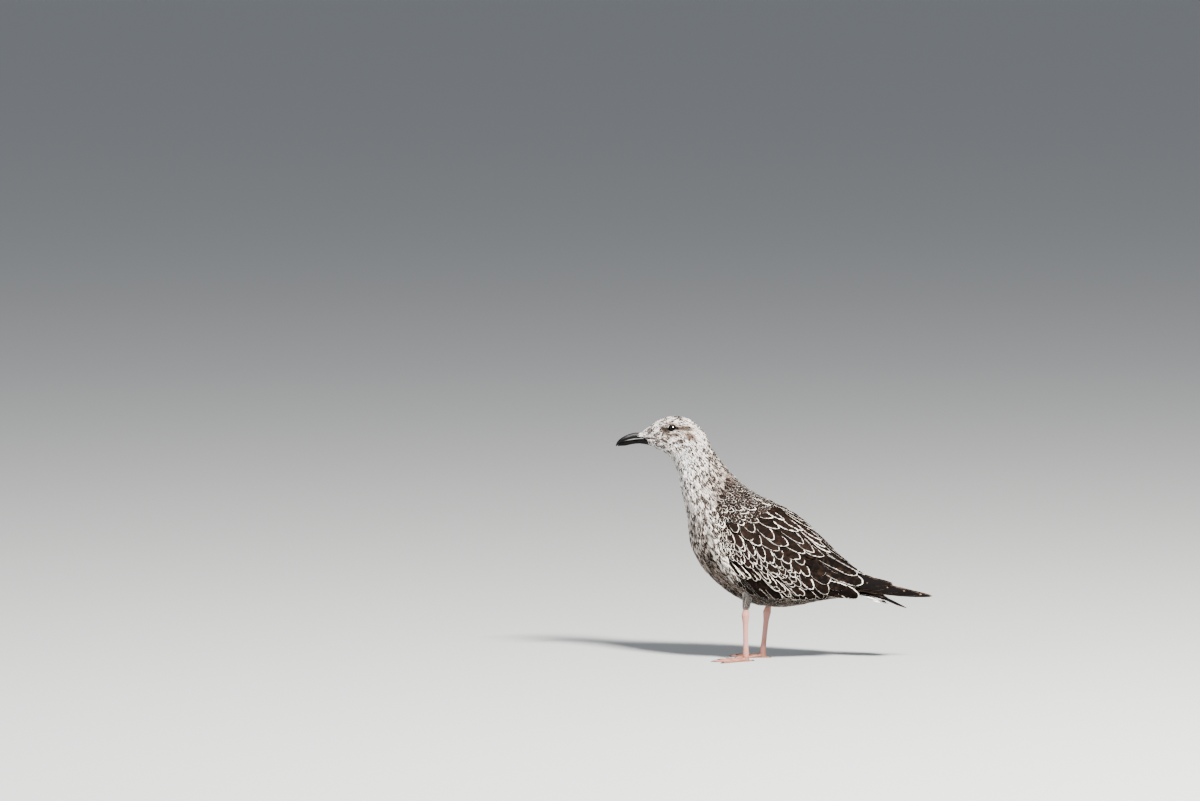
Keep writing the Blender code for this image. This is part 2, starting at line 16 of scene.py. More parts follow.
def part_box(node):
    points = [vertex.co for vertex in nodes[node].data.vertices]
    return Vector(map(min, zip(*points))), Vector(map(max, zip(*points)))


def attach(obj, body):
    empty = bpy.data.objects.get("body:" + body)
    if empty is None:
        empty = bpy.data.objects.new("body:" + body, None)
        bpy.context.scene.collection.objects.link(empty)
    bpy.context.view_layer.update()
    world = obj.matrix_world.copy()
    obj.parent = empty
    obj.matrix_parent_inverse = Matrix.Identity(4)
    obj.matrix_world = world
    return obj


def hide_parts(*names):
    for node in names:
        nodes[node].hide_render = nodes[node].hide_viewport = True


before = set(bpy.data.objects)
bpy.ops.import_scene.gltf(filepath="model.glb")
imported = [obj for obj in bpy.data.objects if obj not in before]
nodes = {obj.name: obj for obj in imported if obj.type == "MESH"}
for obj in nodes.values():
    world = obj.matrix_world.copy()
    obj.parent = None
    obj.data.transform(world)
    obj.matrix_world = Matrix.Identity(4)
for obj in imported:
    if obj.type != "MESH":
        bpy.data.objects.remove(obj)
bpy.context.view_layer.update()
MM = 0.001
print("loaded", len(nodes), "solids")

# %% [markdown]
# ## Shared helpers
# Every object is linked to the scene in the same way, every shown piece of the bird rides on
# its one body, and every material starts as a plain shader.

# %% Shared helpers
def add_object(name, data):
    made = bpy.data.objects.new(name, data)
    bpy.context.scene.collection.objects.link(made)
    return made


def add_piece(name, mesh, material, replaced):
    """Shows a mesh in place of the named solids."""
    mesh.materials.append(material)
    mesh.shade_smooth()
    piece = add_object(name, mesh)
    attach(piece, "root")
    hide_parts(*replaced)


def new_material(name, rough, specular=0.5):
    """A material with its node tree and its shader."""
    material = bpy.data.materials.new(name)
    material.use_nodes = True
    shader = material.node_tree.nodes["Principled BSDF"]
    shader.inputs["Roughness"].default_value = rough
    shader.inputs["Specular IOR Level"].default_value = specular
    return material, material.node_tree, shader


def set_values(mesh, name, kind, values):
    """Stores one value for each point: a number, a direction or a colour."""
    channel = {"FLOAT": "value", "FLOAT_VECTOR": "vector", "FLOAT_COLOR": "color"}[kind]
    mesh.attributes.new(name, kind, "POINT").data.foreach_set(channel, values.astype(np.float32).ravel())


def read_curve(x, table):
    """Value at x on a line through a table's pairs."""
    return np.interp(x, *np.array(table).T)


print("helpers for objects, pieces, materials and tables")

# %% [markdown]
# ## Camera, floor and light
# A long lens far away keeps the bird's proportions true. The floor is one wide grey sheet.
# The key lamp hangs above the camera's right shoulder, a weaker and larger one fills from
# the left, and a pale sky lights the rest.

# %% Camera, floor and light
VIEW_CENTRE = Vector((-0.2675, 0.0, 0.4018))
VIEW_WIDTH = 1.853
CAMERA_DISTANCE = 13.0
CAMERA_RISE = math.radians(4.5)
FLOOR_HALF = 60.0
FLOOR_COLOUR = (0.34, 0.34, 0.335, 1)
SKY_COLOUR, SKY_STRENGTH = (0.80, 0.86, 0.95, 1), 0.5
# name: place, size, power in watts, colour
LAMPS = {
    "key": ((1.5, -2.8, 3.6), 0.8, 1650, (1.0, 0.98, 0.95)),
    "fill": ((-3.2, -2.0, 1.6), 2.0, 115, (0.93, 0.96, 1.0)),
}
LAMP_AIM = Vector((0, 0, 0.2))


def make_camera():
    data = bpy.data.cameras.new("camera")
    data.lens = data.sensor_width * CAMERA_DISTANCE / VIEW_WIDTH
    data.clip_end = 200.0
    camera = add_object("camera", data)
    back = Vector((0, -math.cos(CAMERA_RISE), math.sin(CAMERA_RISE)))
    camera.location = VIEW_CENTRE + back * CAMERA_DISTANCE
    camera.rotation_mode = "QUATERNION"
    camera.rotation_quaternion = (-back).to_track_quat("-Z", "Y")
    bpy.context.scene.camera = camera


def make_lamp(name, place, size, power, colour):
    data = bpy.data.lights.new(name, "AREA")
    data.size, data.energy, data.color = size, power, colour
    lamp = add_object(name, data)
    lamp.location = place
    lamp.rotation_mode = "QUATERNION"
    lamp.rotation_quaternion = (Vector(place) - LAMP_AIM).to_track_quat("Z", "Y")


def make_floor():
    mesh = bpy.data.meshes.new("floor")
    corners = [(x * FLOOR_HALF, y * FLOOR_HALF, 0) for x, y in ((-1, -1), (1, -1), (1, 1), (-1, 1))]
    mesh.from_pydata(corners, [], [(0, 1, 2, 3)])
    material, _, shader = new_material("floor", 0.9)
    shader.inputs["Base Color"].default_value = FLOOR_COLOUR
    mesh.materials.append(material)
    add_object("floor", mesh)


def make_sky():
    world = bpy.data.worlds.new("sky")
    world.use_nodes = True
    background = world.node_tree.nodes["Background"]
    background.inputs["Color"].default_value = SKY_COLOUR
    background.inputs["Strength"].default_value = SKY_STRENGTH
    bpy.context.scene.world = world


make_camera()
make_floor()
for lamp_name, lamp_values in LAMPS.items():
    make_lamp(lamp_name, *lamp_values)
make_sky()
print("camera", CAMERA_DISTANCE, "m away and", len(LAMPS), "lamps")

# %% [markdown]
# ## A map of the body
# Feathers must know where the body's surface is and which way it runs. Rings are cut across
# head, neck and trunk from bill to tail, as on a carved decoy. A place on the bird is then
# two numbers: `u`, the station from bill (0) to tail (14), and `v`, the turn round the ring
# from the back (0) over the left side (0.25) to the underside (0.5) and up the right side.
# Each ring point is a ray shot inward from just outside the solids. One more set of rays
# also meets the raised wings and shoulder feathers, which gives their height over the body.

# %% Measure the body with rays
# for each station its centre x, z and the way to the back x, z, in MM
SPINE = np.array([
    (-196.0, 342.2, -11.6, 22.0), (-187.4, 344.8, -8.5, 32.4), (-167.0, 348.6, 1.5, 54.6),
    (-145.6, 343.5, 22.5, 63.8), (-129.6, 327.6, 43.1, 54.7), (-119.8, 306.7, 53.0, 39.2),
    (-105.8, 277.9, 71.3, 33.3), (-83.4, 241.4, 98.0, 41.0), (-62.4, 206.4, 127.1, 67.1),
    (-31.0, 173.6, 126.3, 96.2), (8.2, 143.8, 100.8, 107.7), (49.3, 125.6, 68.2, 88.3),
    (88.4, 118.6, 39.5, 55.8), (122.1, 112.9, 18.6, 30.6), (134.5, 110.0, 12.4, 23.5),
])
STATIONS = len(SPINE) - 1
RINGS, SPOKES = 169, 96
HALF_WIDTHS_MM = (9, 14, 21, 24, 26, 28, 35, 47, 57, 60, 56, 46, 34, 23, 18)
RAY_START = 1.7
# a ray that differs by SLIT_JUMP from the middle value of MEND_RINGS rings on each side is mended
SLIT_JUMP = 0.7 * MM
MEND_RINGS = 3


def tree_of(*names):
    """Search tree of several solids together."""
    points, faces = [], []
    for name in names:
        solid = nodes[name]
        start = len(points)
        points += [solid.matrix_world @ vertex.co for vertex in solid.data.vertices]
        faces += [[start + i for i in face.vertices] for face in solid.data.polygons]
    return BVHTree.FromPolygons(points, faces)


def ring_frames():
    """Centres, ways to the back and half widths of all rings, on smooth curves."""
    place = np.linspace(0, STATIONS, RINGS)
    i = np.clip(place.astype(int), 0, STATIONS - 1)
    f = (place - i)[:, None]
    table = np.column_stack([SPINE, HALF_WIDTHS_MM])
    ends = np.vstack([2 * table[0] - table[1], table, 2 * table[-1] - table[-2]])
    a, b, c, d = ends[i], ends[i + 1], ends[i + 2], ends[i + 3]
    curve = b + 0.5 * f * (c - a + f * (2 * a - 5 * b + 4 * c - d + f * (3 * (b - c) + d - a)))
    centre = np.zeros((RINGS, 3))
    centre[:, 0], centre[:, 2] = curve[:, 0] * MM, curve[:, 1] * MM
    back = np.zeros((RINGS, 3))
    back[:, 0], back[:, 2] = curve[:, 2] * MM / 2, curve[:, 3] * MM / 2
    return centre, back, curve[:, 4] * MM


def shoot(tree, centre, back, half_width):
    """Surface points on every ring, from rays that run inward, and their reach from the centre."""
    reach = np.full((RINGS, SPOKES), np.nan)
    rays = np.zeros((RINGS, SPOKES, 3))
    for i in range(RINGS):
        for j in range(SPOKES):
            turn = 2 * math.pi * j / SPOKES
            ray = math.cos(turn) * back[i] + math.sin(turn) * np.array((0, -half_width[i], 0))
            rays[i, j] = ray
            start = centre[i] + RAY_START * ray
            hit = tree.ray_cast(Vector(start), Vector(-ray))[0]
            if hit is not None:
                reach[i, j] = (np.array(hit) - centre[i]) @ ray / (ray @ ray)
    return reach, rays


def mend(reach, rays):
    """Replaces rays that slipped into a slit between solids by their neighbours' middle value."""
    size = np.linalg.norm(rays, axis=2)
    length = np.nan_to_num(reach, nan=0.0) * size
    for _ in range(2):
        rows = np.pad(length, ((MEND_RINGS, MEND_RINGS), (0, 0)), mode="edge")
        middle = np.median(np.stack([rows[k:k + RINGS] for k in range(2 * MEND_RINGS + 1)]), axis=0)
        bad = np.abs(length - middle) > SLIT_JUMP
        length[bad] = middle[bad]
    return length / size


def smooth(grid, passes):
    for _ in range(passes):
        across = (np.roll(grid, 1, 1) + 2 * grid + np.roll(grid, -1, 1)) / 4
        rows = np.concatenate([across[:1], across, across[-1:]])
        grid = (rows[:-2] + 2 * rows[1:-1] + rows[2:]) / 4
    return grid


centre, back, half_width = ring_frames()
body_tree = tree_of("head", "neck", "trunk")
reach, rays = shoot(body_tree, centre, back, half_width)
reach = mend(reach, rays)
BODY = smooth(centre[:, None] + reach[..., None] * rays, 2)
raised_tree = tree_of(
    "head", "neck", "trunk",
    *[f"{part}_{side}" for part in ("scapulars", "wing", "tertials") for side in ("left", "right")],
)
reach_raised, _ = shoot(raised_tree, centre, back, half_width)
lift = (np.maximum(reach_raised, reach) - reach) * np.linalg.norm(rays, axis=2)
print("body map:", RINGS, "rings of", SPOKES, "points, wings stand", round(lift.max() / MM, 1), "mm proud")

# %% [markdown]
# ## Reading the map
# `make_chart` adds to the ring points their outward normal and the length of one step along
# and round. `sample` reads any grid between its points, and `trail` walks a feather's
# centre line back from its tip over the surface, so that a feather hugs the body it lies on.

# %% Reading the map
MOST_TURN = math.radians(55)
# how many rings past the ends a place may lie
OVERRUN = 6
LEAST_ALONG, LEAST_AROUND = 6 * MM, 12 * MM


def sample(grid, u, v):
    """Grid values at station u and turn v. The turn closes on itself; u may run a little past the ends."""
    x = np.asarray(u) / STATIONS * (RINGS - 1)
    i = np.clip(np.floor(x), 0, RINGS - 2).astype(int)
    y = np.asarray(v) % 1.0 * SPOKES
    j = np.floor(y).astype(int) % SPOKES
    fx, fy = np.clip(x - i, -OVERRUN, OVERRUN + 1), y - np.floor(y)
    if grid.ndim == 3:
        fx, fy = fx[..., None], fy[..., None]
    k = (j + 1) % SPOKES
    near = grid[i, j] * (1 - fy) + grid[i, k] * fy
    far = grid[i + 1, j] * (1 - fy) + grid[i + 1, k] * fy
    return near * (1 - fx) + far * fx


def unit(vectors):
    return vectors / np.maximum(np.linalg.norm(vectors, axis=-1, keepdims=True), 1e-12)


def make_chart(points):
    along = np.gradient(points, STATIONS / (RINGS - 1), axis=0)
    around = (np.roll(points, -1, 1) - np.roll(points, 1, 1)) * SPOKES / 2
    normal = unit(np.cross(around, along))
    outward = (normal * (points - points.mean(axis=1, keepdims=True))).sum(axis=2)
    if outward.mean() < 0:
        normal = -normal
    return {
        "points": points,
        "normal": unit(smooth(normal, 2)),
        "tailward": unit(along),
        "roundward": unit(around),
        "along": np.maximum(np.linalg.norm(along, axis=2), LEAST_ALONG),
        "around": np.maximum(np.linalg.norm(around, axis=2), LEAST_AROUND),
    }


def spread(grid, cells):
    """Largest value within a few cells, so that a raised rim keeps its full height."""
    for _ in range(cells):
        grid = np.maximum.reduce([grid, np.roll(grid, 1, 1), np.roll(grid, -1, 1)])
        rows = np.pad(grid, ((1, 1), (0, 0)), mode="edge")
        grid = np.maximum.reduce([rows[:-2], grid, rows[2:]])
    return grid


def share_at(v):
    """Share of the way from back (0) to underside (1) at a turn round the ring."""
    return (1 - np.cos(2 * math.pi * v)) / 2


def turn_at(share, side=1):
    """Turn round the ring at a share of the way from back (0) to underside (1)."""
    v = np.arccos(1 - 2 * np.clip(share, 0, 1)) / (2 * math.pi)
    return np.where(side > 0, v, 1 - v)


def turn_for(chart, u, v, side, slope):
    """Turn from tailward to downward that shows as the given slope below level, seen from the side."""
    a = sample(chart["tailward"], u, v)
    b = sample(chart["roundward"], u, v) * side[:, None]
    fall = np.tan(slope)
    top, bottom = a[:, 2] + fall * a[:, 0], b[:, 2] + fall * b[:, 0]
    calm = np.clip(np.abs(b[:, 2]) / 0.4, 0, 1)
    return calm * np.clip(np.arctan2(-top * np.sign(bottom), np.abs(bottom)), -MOST_TURN, MOST_TURN)


def trail(chart, u, v, turn, length, steps, slope=None):
    """Chart places from root to tip of feathers whose tips lie at u, v. The turn is from tailward
    to downward."""
    u, v = np.array(u, float), np.array(v, float)
    side = np.where(v % 1 < 0.5, 1, -1)
    us, vs = [u], [v]
    for step in np.diff(steps)[::-1]:
        if slope is not None:
            turn = turn_for(chart, u, v, side, slope)
        u = u - np.cos(turn) * step * length / sample(chart["along"], u, v)
        v = v - side * np.sin(turn) * step * length / sample(chart["around"], u, v)
        us.append(u)
        vs.append(v)
    return np.stack(us[::-1], 1), np.stack(vs[::-1], 1)


body = make_chart(BODY)
lift_full = smooth(spread(lift, 3)[..., None], 3)[..., 0]
wing_chart = make_chart(BODY + body["normal"] * lift_full[..., None])
print("chart of the body and of the raised wings")

# %% [markdown]
# ## One feather
# Every feather is a closed, thin, slightly arched blade of real mesh. Its centre line is a
# row of points, its width follows an outline, and its cross section is a small polygon:
# three points for a body feather, more for a broad one. Feathers of one tract are made at
# once. Each point carries where it is on its own feather (`vane`), how far it is from the
# rim and how big the feather is (`form`), and two colours, ground (`tint`) and mark (`ink`).

# %% One feather
FINE = ((-1, 0), (0, 1), (1, 0))
MEDIUM = ((-1, 0), (-0.55, 0.75), (0, 1), (0.55, 0.75), (1, 0), (0, -0.4))
BROAD = tuple(
    [(s, 1 - s * s) for s in np.linspace(-1, 1, 11)] + [(s, -0.5 * (1 - s * s)) for s in (0.6, 0, -0.6)]
)
PATCH = 0.003


def contour_outline(t):
    """Body feather: narrow root, widest past the middle, round end."""
    rise = 0.35 + 0.65 * np.sin(np.clip(t / 0.6, 0, 1) * math.pi / 2)
    fall = np.sqrt(np.clip(1 - np.clip((t - 0.6) / 0.41, 0, 1) ** 2.2, 0, 1))
    return rise * fall


def soft_outline(t):
    """Small body feather: slim, with a loose pointed end."""
    rise = 0.5 + 0.5 * np.sin(np.clip(t / 0.5, 0, 1) * math.pi / 2)
    return rise * (1 - 0.9 * np.clip((t - 0.5) / 0.5, 0, 1) ** 1.7)


def blade_outline(t):
    """Wing or tail feather: long even sides, rounded end."""
    rise = 0.45 + 0.55 * np.sin(np.clip(t / 0.5, 0, 1) * math.pi / 2)
    fall = np.sqrt(np.clip(1 - np.clip((t - 0.78) / 0.225, 0, 1) ** 2, 0, 1))
    return rise * fall


def point_outline(t):
    """Outer wing feather: tapers over its last third to a narrow round tip."""
    rise = 0.5 + 0.5 * np.sin(np.clip(t / 0.4, 0, 1) * math.pi / 2)
    return rise * np.clip(1 - np.clip((t - 0.5) / 0.5, 0, 1) ** 1.9, 0, 1) ** 0.8


def even_steps(count, crowd=1.5):
    """Section places from root to tip, closer together near the tip."""
    return 1 - (1 - np.linspace(0, 1, count)) ** crowd


print("feather sections of", len(FINE), len(MEDIUM), "and", len(BROAD), "points, four outlines")

# %% [markdown]
# All feathers of a tract are worked out together. `form` may hold thickness, camber, roll
# about the shaft, skew of the two sides, sweep of the shaft, ripple of the edge, and the
# size of the feather's bake patch.

# %% Feathers of one tract
def per_feather(value, count):
    return np.broadcast_to(np.asarray(value, float), (count,)).copy()


def make_vanes(spine, normal, half_width, outline, section, steps, tint, ink, seeds, patch, **form):
    """Arrays of one tract. spine and normal are (feather, step, 3), tint and ink are (feather, 4)."""
    count, rows = spine.shape[:2]
    ring = len(section)
    along = unit(np.gradient(spine, axis=1))
    normal = unit(normal - (normal * along).sum(2, keepdims=True) * along)
    across = np.cross(normal, along)
    width = per_feather(half_width, count)[:, None] * outline(steps)[None]
    length = np.linalg.norm(np.diff(spine, axis=1), axis=2).sum(1)
    thick = per_feather(form.get("thick", 0.25 * MM), count)[:, None] * (1 - 0.6 * steps)
    curve = per_feather(form.get("camber", 0.05), count)[:, None]
    roll = per_feather(form.get("roll", 0.0), count)[:, None]
    skew = per_feather(form.get("skew", 0.0), count)[:, None, None]
    sweep = per_feather(form.get("sweep", 0.0), count)[:, None, None]
    phase = 2 * math.pi * seeds[:, None]
    width = width * (1 + form.get("ripple", 0.0) * np.sin(9 * steps[None] + phase))
    arc = steps[None, :, None] ** 2 - steps[None, :, None]
    spine = spine + across * sweep * length[:, None, None] * arc
    s = np.array([p[0] for p in section])[None, None]
    h = np.array([p[1] for p in section])[None, None]
    offset = s * width[..., None] * (1 + skew * s)
    rise = h * thick[..., None] - offset**2 / (2 * curve[..., None]) + offset * roll[..., None]
    points = spine[:, :, None] + across[:, :, None] * offset[..., None] + normal[:, :, None] * rise[..., None]
    t = np.broadcast_to(steps[None, :, None], (count, rows, ring))
    side = np.broadcast_to(s, (count, rows, ring))
    rim = np.minimum((1 - np.abs(s)) * width[..., None], ((1 - steps) * length[:, None] * 0.9)[..., None])
    seed = np.broadcast_to(seeds[:, None, None], (count, rows, ring))
    size = np.broadcast_to(length[:, None, None], (count, rows, ring))
    wide = np.broadcast_to(per_feather(half_width, count)[:, None, None], (count, rows, ring))
    cell = per_feather(form.get("cell", PATCH), count)[:, None, None]
    bake = patch[:, None, None] + np.stack([side * cell / 2, (t - 0.5) * cell], -1)
    first = (np.arange(count) * rows * ring)[:, None, None]
    j, m = np.arange(rows - 1)[None, :, None], np.arange(ring)[None, None]
    n = (m + 1) % ring
    quads = np.stack([first + j * ring + m, first + (j + 1) * ring + m, first + (j + 1) * ring + n,
                      first + j * ring + n], -1).reshape(-1, 4)
    end = first[:, 0] + np.arange(ring)[None]
    caps = np.concatenate([end, end[:, ::-1] + (rows - 1) * ring])
    return {
        "points": points.reshape(-1, 3), "quads": quads, "caps": caps,
        "vane": np.stack([side, t, seed], -1).reshape(-1, 3),
        "form": (np.stack([rim, size, wide], -1) / MM).reshape(-1, 3),
        "tint": np.repeat(tint, rows * ring, 0), "ink": np.repeat(ink, rows * ring, 0),
        "bake": bake.reshape(-1, 2),
    }


print("tracts are made by", make_vanes.__name__)

# %% [markdown]
# One piece may hold several tracts, because one mesh is lighter to keep than thousands of
# single feathers. The map named OFBake says which small patch of a bake each feather takes.

# %% Pieces from tracts
# name of each value kept on the points, and its kind
POINT_VALUES = {"vane": "FLOAT_VECTOR", "form": "FLOAT_VECTOR", "tint": "FLOAT_COLOR", "ink": "FLOAT_COLOR"}


def join_batches(batches):
    """Faces as one flat list of corners and the start of each, and all point arrays end to end."""
    start, corners, sizes = 0, [], []
    for batch in batches:
        for faces in (batch["quads"], batch["caps"]):
            corners.append((faces + start).ravel())
            sizes.append(np.full(len(faces), faces.shape[1]))
        start += len(batch["points"])
    merged = {key: np.concatenate([b[key] for b in batches]) for key in ("points", "bake", *POINT_VALUES)}
    return np.concatenate(corners), np.concatenate(sizes), merged


def make_piece(name, batches, material, slot, replaced):
    """One mesh object from several tracts."""
    corners, sizes, data = join_batches(batches)
    mesh = bpy.data.meshes.new(name)
    mesh.vertices.add(len(data["points"]))
    mesh.vertices.foreach_set("co", data["points"].astype(np.float32).ravel())
    mesh.loops.add(len(corners))
    mesh.loops.foreach_set("vertex_index", corners.astype(np.int32))
    mesh.polygons.add(len(sizes))
    mesh.polygons.foreach_set("loop_start", (np.cumsum(sizes) - sizes).astype(np.int32))
    for key, kind in POINT_VALUES.items():
        set_values(mesh, key, kind, data[key])
    layer = mesh.uv_layers.new(name="OFBake")
    layer.data.foreach_set("uv", data["bake"][corners].astype(np.float32).ravel())
    mesh.update(calc_edges=True)
    mesh.validate()
    add_piece(name, mesh, material, replaced)
    print(name, len(batches), "tracts,", int((sizes - 2).sum()), "triangles")


print("pieces are made by", make_piece.__name__)

# %% [markdown]
# ## Feather materials
# The small parts of every feather pattern are shared: the pale rim, the drop at the tip, the
# brown marbling of the vane, the shaft, and the fine slanting barbs that catch the light.
# Each is a node group that reads the feather's own numbers and gives a mask or a height.

# %% Node helpers
# how far apart the noise of two feathers lies
SEED_STEP = 97.0


def node(tree, kind, values, out=0, **settings):
    """A new node's output. values are input: number, colour or the output of another node."""
    made = tree.nodes.new(kind)
    for key, value in settings.items():
        setattr(made, key, value)
    for key, value in values.items():
        if isinstance(value, bpy.types.NodeSocket):
            tree.links.new(value, made.inputs[key])
        else:
            made.inputs[key].default_value = value
    return made.outputs[out]


def calc(tree, operation, *values):
    return node(tree, "ShaderNodeMath", dict(enumerate(values)), operation=operation)


def product(tree, *values):
    """All values multiplied, from left to right."""
    total = values[0]
    for value in values[1:]:
        total = calc(tree, "MULTIPLY", total, value)
    return total


def blend(tree, factor, a, b):
    """Colour from a to b; inputs 6 and 7 and output 2 are the ones for colours."""
    return node(tree, "ShaderNodeMix", {0: factor, 6: a, 7: b}, out=2, data_type="RGBA")


def ramp(tree, value, low, high, start=0.0, end=1.0):
    """Smooth step of a value from start to end between low and high."""
    entries = dict(enumerate((value, low, high, start, end)))
    return node(tree, "ShaderNodeMapRange", entries, interpolation_type="SMOOTHSTEP")


def scaled(tree, colour, factor):
    return node(tree, "ShaderNodeVectorMath", {0: colour, "Scale": factor}, operation="SCALE")


def noise_at(tree, spot, scale, detail=2.0):
    return node(tree, "ShaderNodeTexNoise", {"Vector": spot, "Scale": scale, "Detail": detail})


def object_place(tree):
    return node(tree, "ShaderNodeTexCoord", {}, out="Object")


def read_values(tree, name, out="Color"):
    """A value stored on the mesh's points."""
    return node(tree, "ShaderNodeAttribute", {}, out=out, attribute_name=name)


def add_relief(tree, shader, height, strength, distance):
    bump = node(tree, "ShaderNodeBump", {"Strength": strength, "Distance": distance, "Height": height})
    tree.links.new(bump, shader.inputs["Normal"])


def new_group(name, inputs, outputs):
    """Empty node group of numbers. inputs are name: default, outputs are names."""
    tree = bpy.data.node_groups.new(name, "ShaderNodeTree")
    for key, default in inputs.items():
        tree.interface.new_socket(key, in_out="INPUT", socket_type="NodeSocketFloat").default_value = default
    for key in outputs:
        tree.interface.new_socket(key, in_out="OUTPUT", socket_type="NodeSocketFloat")
    entry = tree.nodes.new("NodeGroupInput")
    leave = tree.nodes.new("NodeGroupOutput")
    return tree, {key: entry.outputs[key] for key in inputs}, leave.inputs


def use_group(tree, group, **values):
    made = tree.nodes.new("ShaderNodeGroup")
    made.node_tree = group
    for key, value in values.items():
        socket = made.inputs[key.replace("_", " ")]
        if isinstance(value, bpy.types.NodeSocket):
            tree.links.new(value, socket)
        else:
            socket.default_value = value
    return made.outputs


def feather_numbers(tree):
    """The feather's own numbers: across, along, seed, rim mm, length mm and half width mm."""
    numbers = []
    for name in ("vane", "form"):
        first = node(tree, "ShaderNodeSeparateXYZ", {0: read_values(tree, name, "Vector")})
        numbers += first.node.outputs[:]
    return numbers


def feather_noise(tree, scale, detail, across, along, seed, length, width):
    """Noise laid out in the feather's own millimetres, different on each feather."""
    spot = node(tree, "ShaderNodeCombineXYZ", {
        0: product(tree, across, width), 1: product(tree, along, length), 2: product(tree, seed, SEED_STEP)})
    return noise_at(tree, spot, scale, detail)


print("node helpers are ready")

# %% [markdown]
# Each pattern below returns a group whose inputs can be set for each kind of feather. The
# rim is ragged, the drop has a soft uneven edge, and the barbs slant away from the shaft.

# %% Shared feather patterns
def make_rim_group():
    tree, into, leave = new_group("pale_rim", {"Width mm": 1.0, "Raggedness": 0.5}, ["Mask"])
    across, along, seed, rim, length, width = feather_numbers(tree)
    noise = feather_noise(tree, 0.22, 3.0, across, along, seed, length, width)
    wander = product(tree, calc(tree, "SUBTRACT", noise, 0.5), product(tree, into["Raggedness"], 4.6))
    wavy = calc(tree, "MAXIMUM", calc(tree, "ADD", wander, 1.0), 0.12)
    edge = product(tree, into["Width mm"], wavy, ramp(tree, along, 0.15, 0.7, 0.5, 1.0))
    mask = ramp(tree, rim, product(tree, edge, 0.75), product(tree, edge, 1.3), 1.0, 0.0)
    any_rim = calc(tree, "GREATER_THAN", into["Width mm"], 0.01)
    tree.links.new(product(tree, mask, any_rim), leave["Mask"])
    return tree


def make_drop_group():
    defaults = {"Place": 0.78, "Length": 0.24, "Width": 0.75, "Amount": 1.0}
    tree, into, leave = new_group("tip_drop", defaults, ["Mask"])
    across, along, seed, _, length, width = feather_numbers(tree)
    noise = feather_noise(tree, 0.7, 1.0, across, along, seed, length, width)
    x = calc(tree, "DIVIDE", across, into["Width"])
    y = calc(tree, "DIVIDE", calc(tree, "SUBTRACT", along, into["Place"]), into["Length"])
    away = calc(tree, "SQRT", calc(tree, "ADD", product(tree, x, x), product(tree, y, y)))
    away = calc(tree, "ADD", away, product(tree, calc(tree, "SUBTRACT", noise, 0.5), 0.7))
    tree.links.new(product(tree, ramp(tree, away, 0.6, 1.1, 1.0, 0.0), into["Amount"]), leave["Mask"])
    return tree


def make_marbling_group():
    tree, into, leave = new_group("vane_marbling", {"Amount": 0.5}, ["Mask"])
    across, along, seed, _, length, width = feather_numbers(tree)
    noise = feather_noise(tree, 0.16, 3.0, across, along, seed, length, width)
    near_rim = ramp(tree, calc(tree, "ABSOLUTE", across), 0.1, 0.9, 0.35, 1.0)
    tree.links.new(product(tree, ramp(tree, noise, 0.46, 0.66), near_rim, into["Amount"]), leave["Mask"])
    return tree


def make_barb_group():
    defaults = {"Spacing mm": 0.5, "Slant": 1.1}
    tree, into, leave = new_group("barbs", defaults, ["Height", "Shaft"])
    across, along, seed, _, length, width = feather_numbers(tree)
    out = product(tree, calc(tree, "ABSOLUTE", across), width)
    down = product(tree, along, length)
    noise = feather_noise(tree, 0.25, 2.0, across, along, seed, length, width)
    line = calc(tree, "SUBTRACT", down, product(tree, out, into["Slant"]))
    line = calc(tree, "ADD", line, product(tree, noise, 1.2))
    wave = calc(tree, "SINE", calc(tree, "DIVIDE", product(tree, line, 2 * math.pi), into["Spacing mm"]))
    tree.links.new(calc(tree, "ADD", product(tree, wave, 0.5), noise), leave["Height"])
    tree.links.new(ramp(tree, out, 0.12, 0.35, 1.0, 0.0), leave["Shaft"])
    return tree


RIM, DROP, MARBLING, BARBS = make_rim_group(), make_drop_group(), make_marbling_group(), make_barb_group()
print("four shared patterns: rim, drop, marbling and barbs")

# %% [markdown]
# A feather's colour is built up in layers: ground, marbling, drop, shaft, then the pale rim
# on top. The ground's alpha is the rim's width in millimetres, the mark's alpha its strength.

# %% Feather materials
SHAFT_DARK = (0.01, 0.008, 0.007, 1)
BARB_BUMP, BARB_DEPTH = 0.35, 0.1 * MM


def feather_material(name, pale, warm, rough, barb_mm, marbling, drop, gloss, shaft_tone, ragged=0.7):
    material, tree, shader = new_material(name, rough, gloss)
    tint, ink = read_values(tree, "tint"), read_values(tree, "ink")
    rim_mm, strength = tint.node.outputs["Alpha"], ink.node.outputs["Alpha"]
    marbled = use_group(tree, MARBLING, Amount=marbling)["Mask"]
    colour = blend(tree, marbled, tint, warm)
    mark = use_group(tree, DROP, Amount=strength, **drop)["Mask"]
    colour = blend(tree, mark, colour, ink)
    barbs = use_group(tree, BARBS, Spacing_mm=barb_mm)
    dark = blend(tree, 0.65, colour, SHAFT_DARK)
    colour = blend(tree, product(tree, barbs["Shaft"], shaft_tone, 0.6), colour, dark)
    rim = use_group(tree, RIM, Width_mm=rim_mm, Raggedness=ragged)["Mask"]
    colour = blend(tree, rim, colour, pale)
    shade = ramp(tree, barbs["Height"], 0.0, 1.0, 0.86, 1.06)
    tree.links.new(scaled(tree, colour, shade), shader.inputs["Base Color"])
    add_relief(tree, shader, barbs["Height"], BARB_BUMP, BARB_DEPTH)
    return material


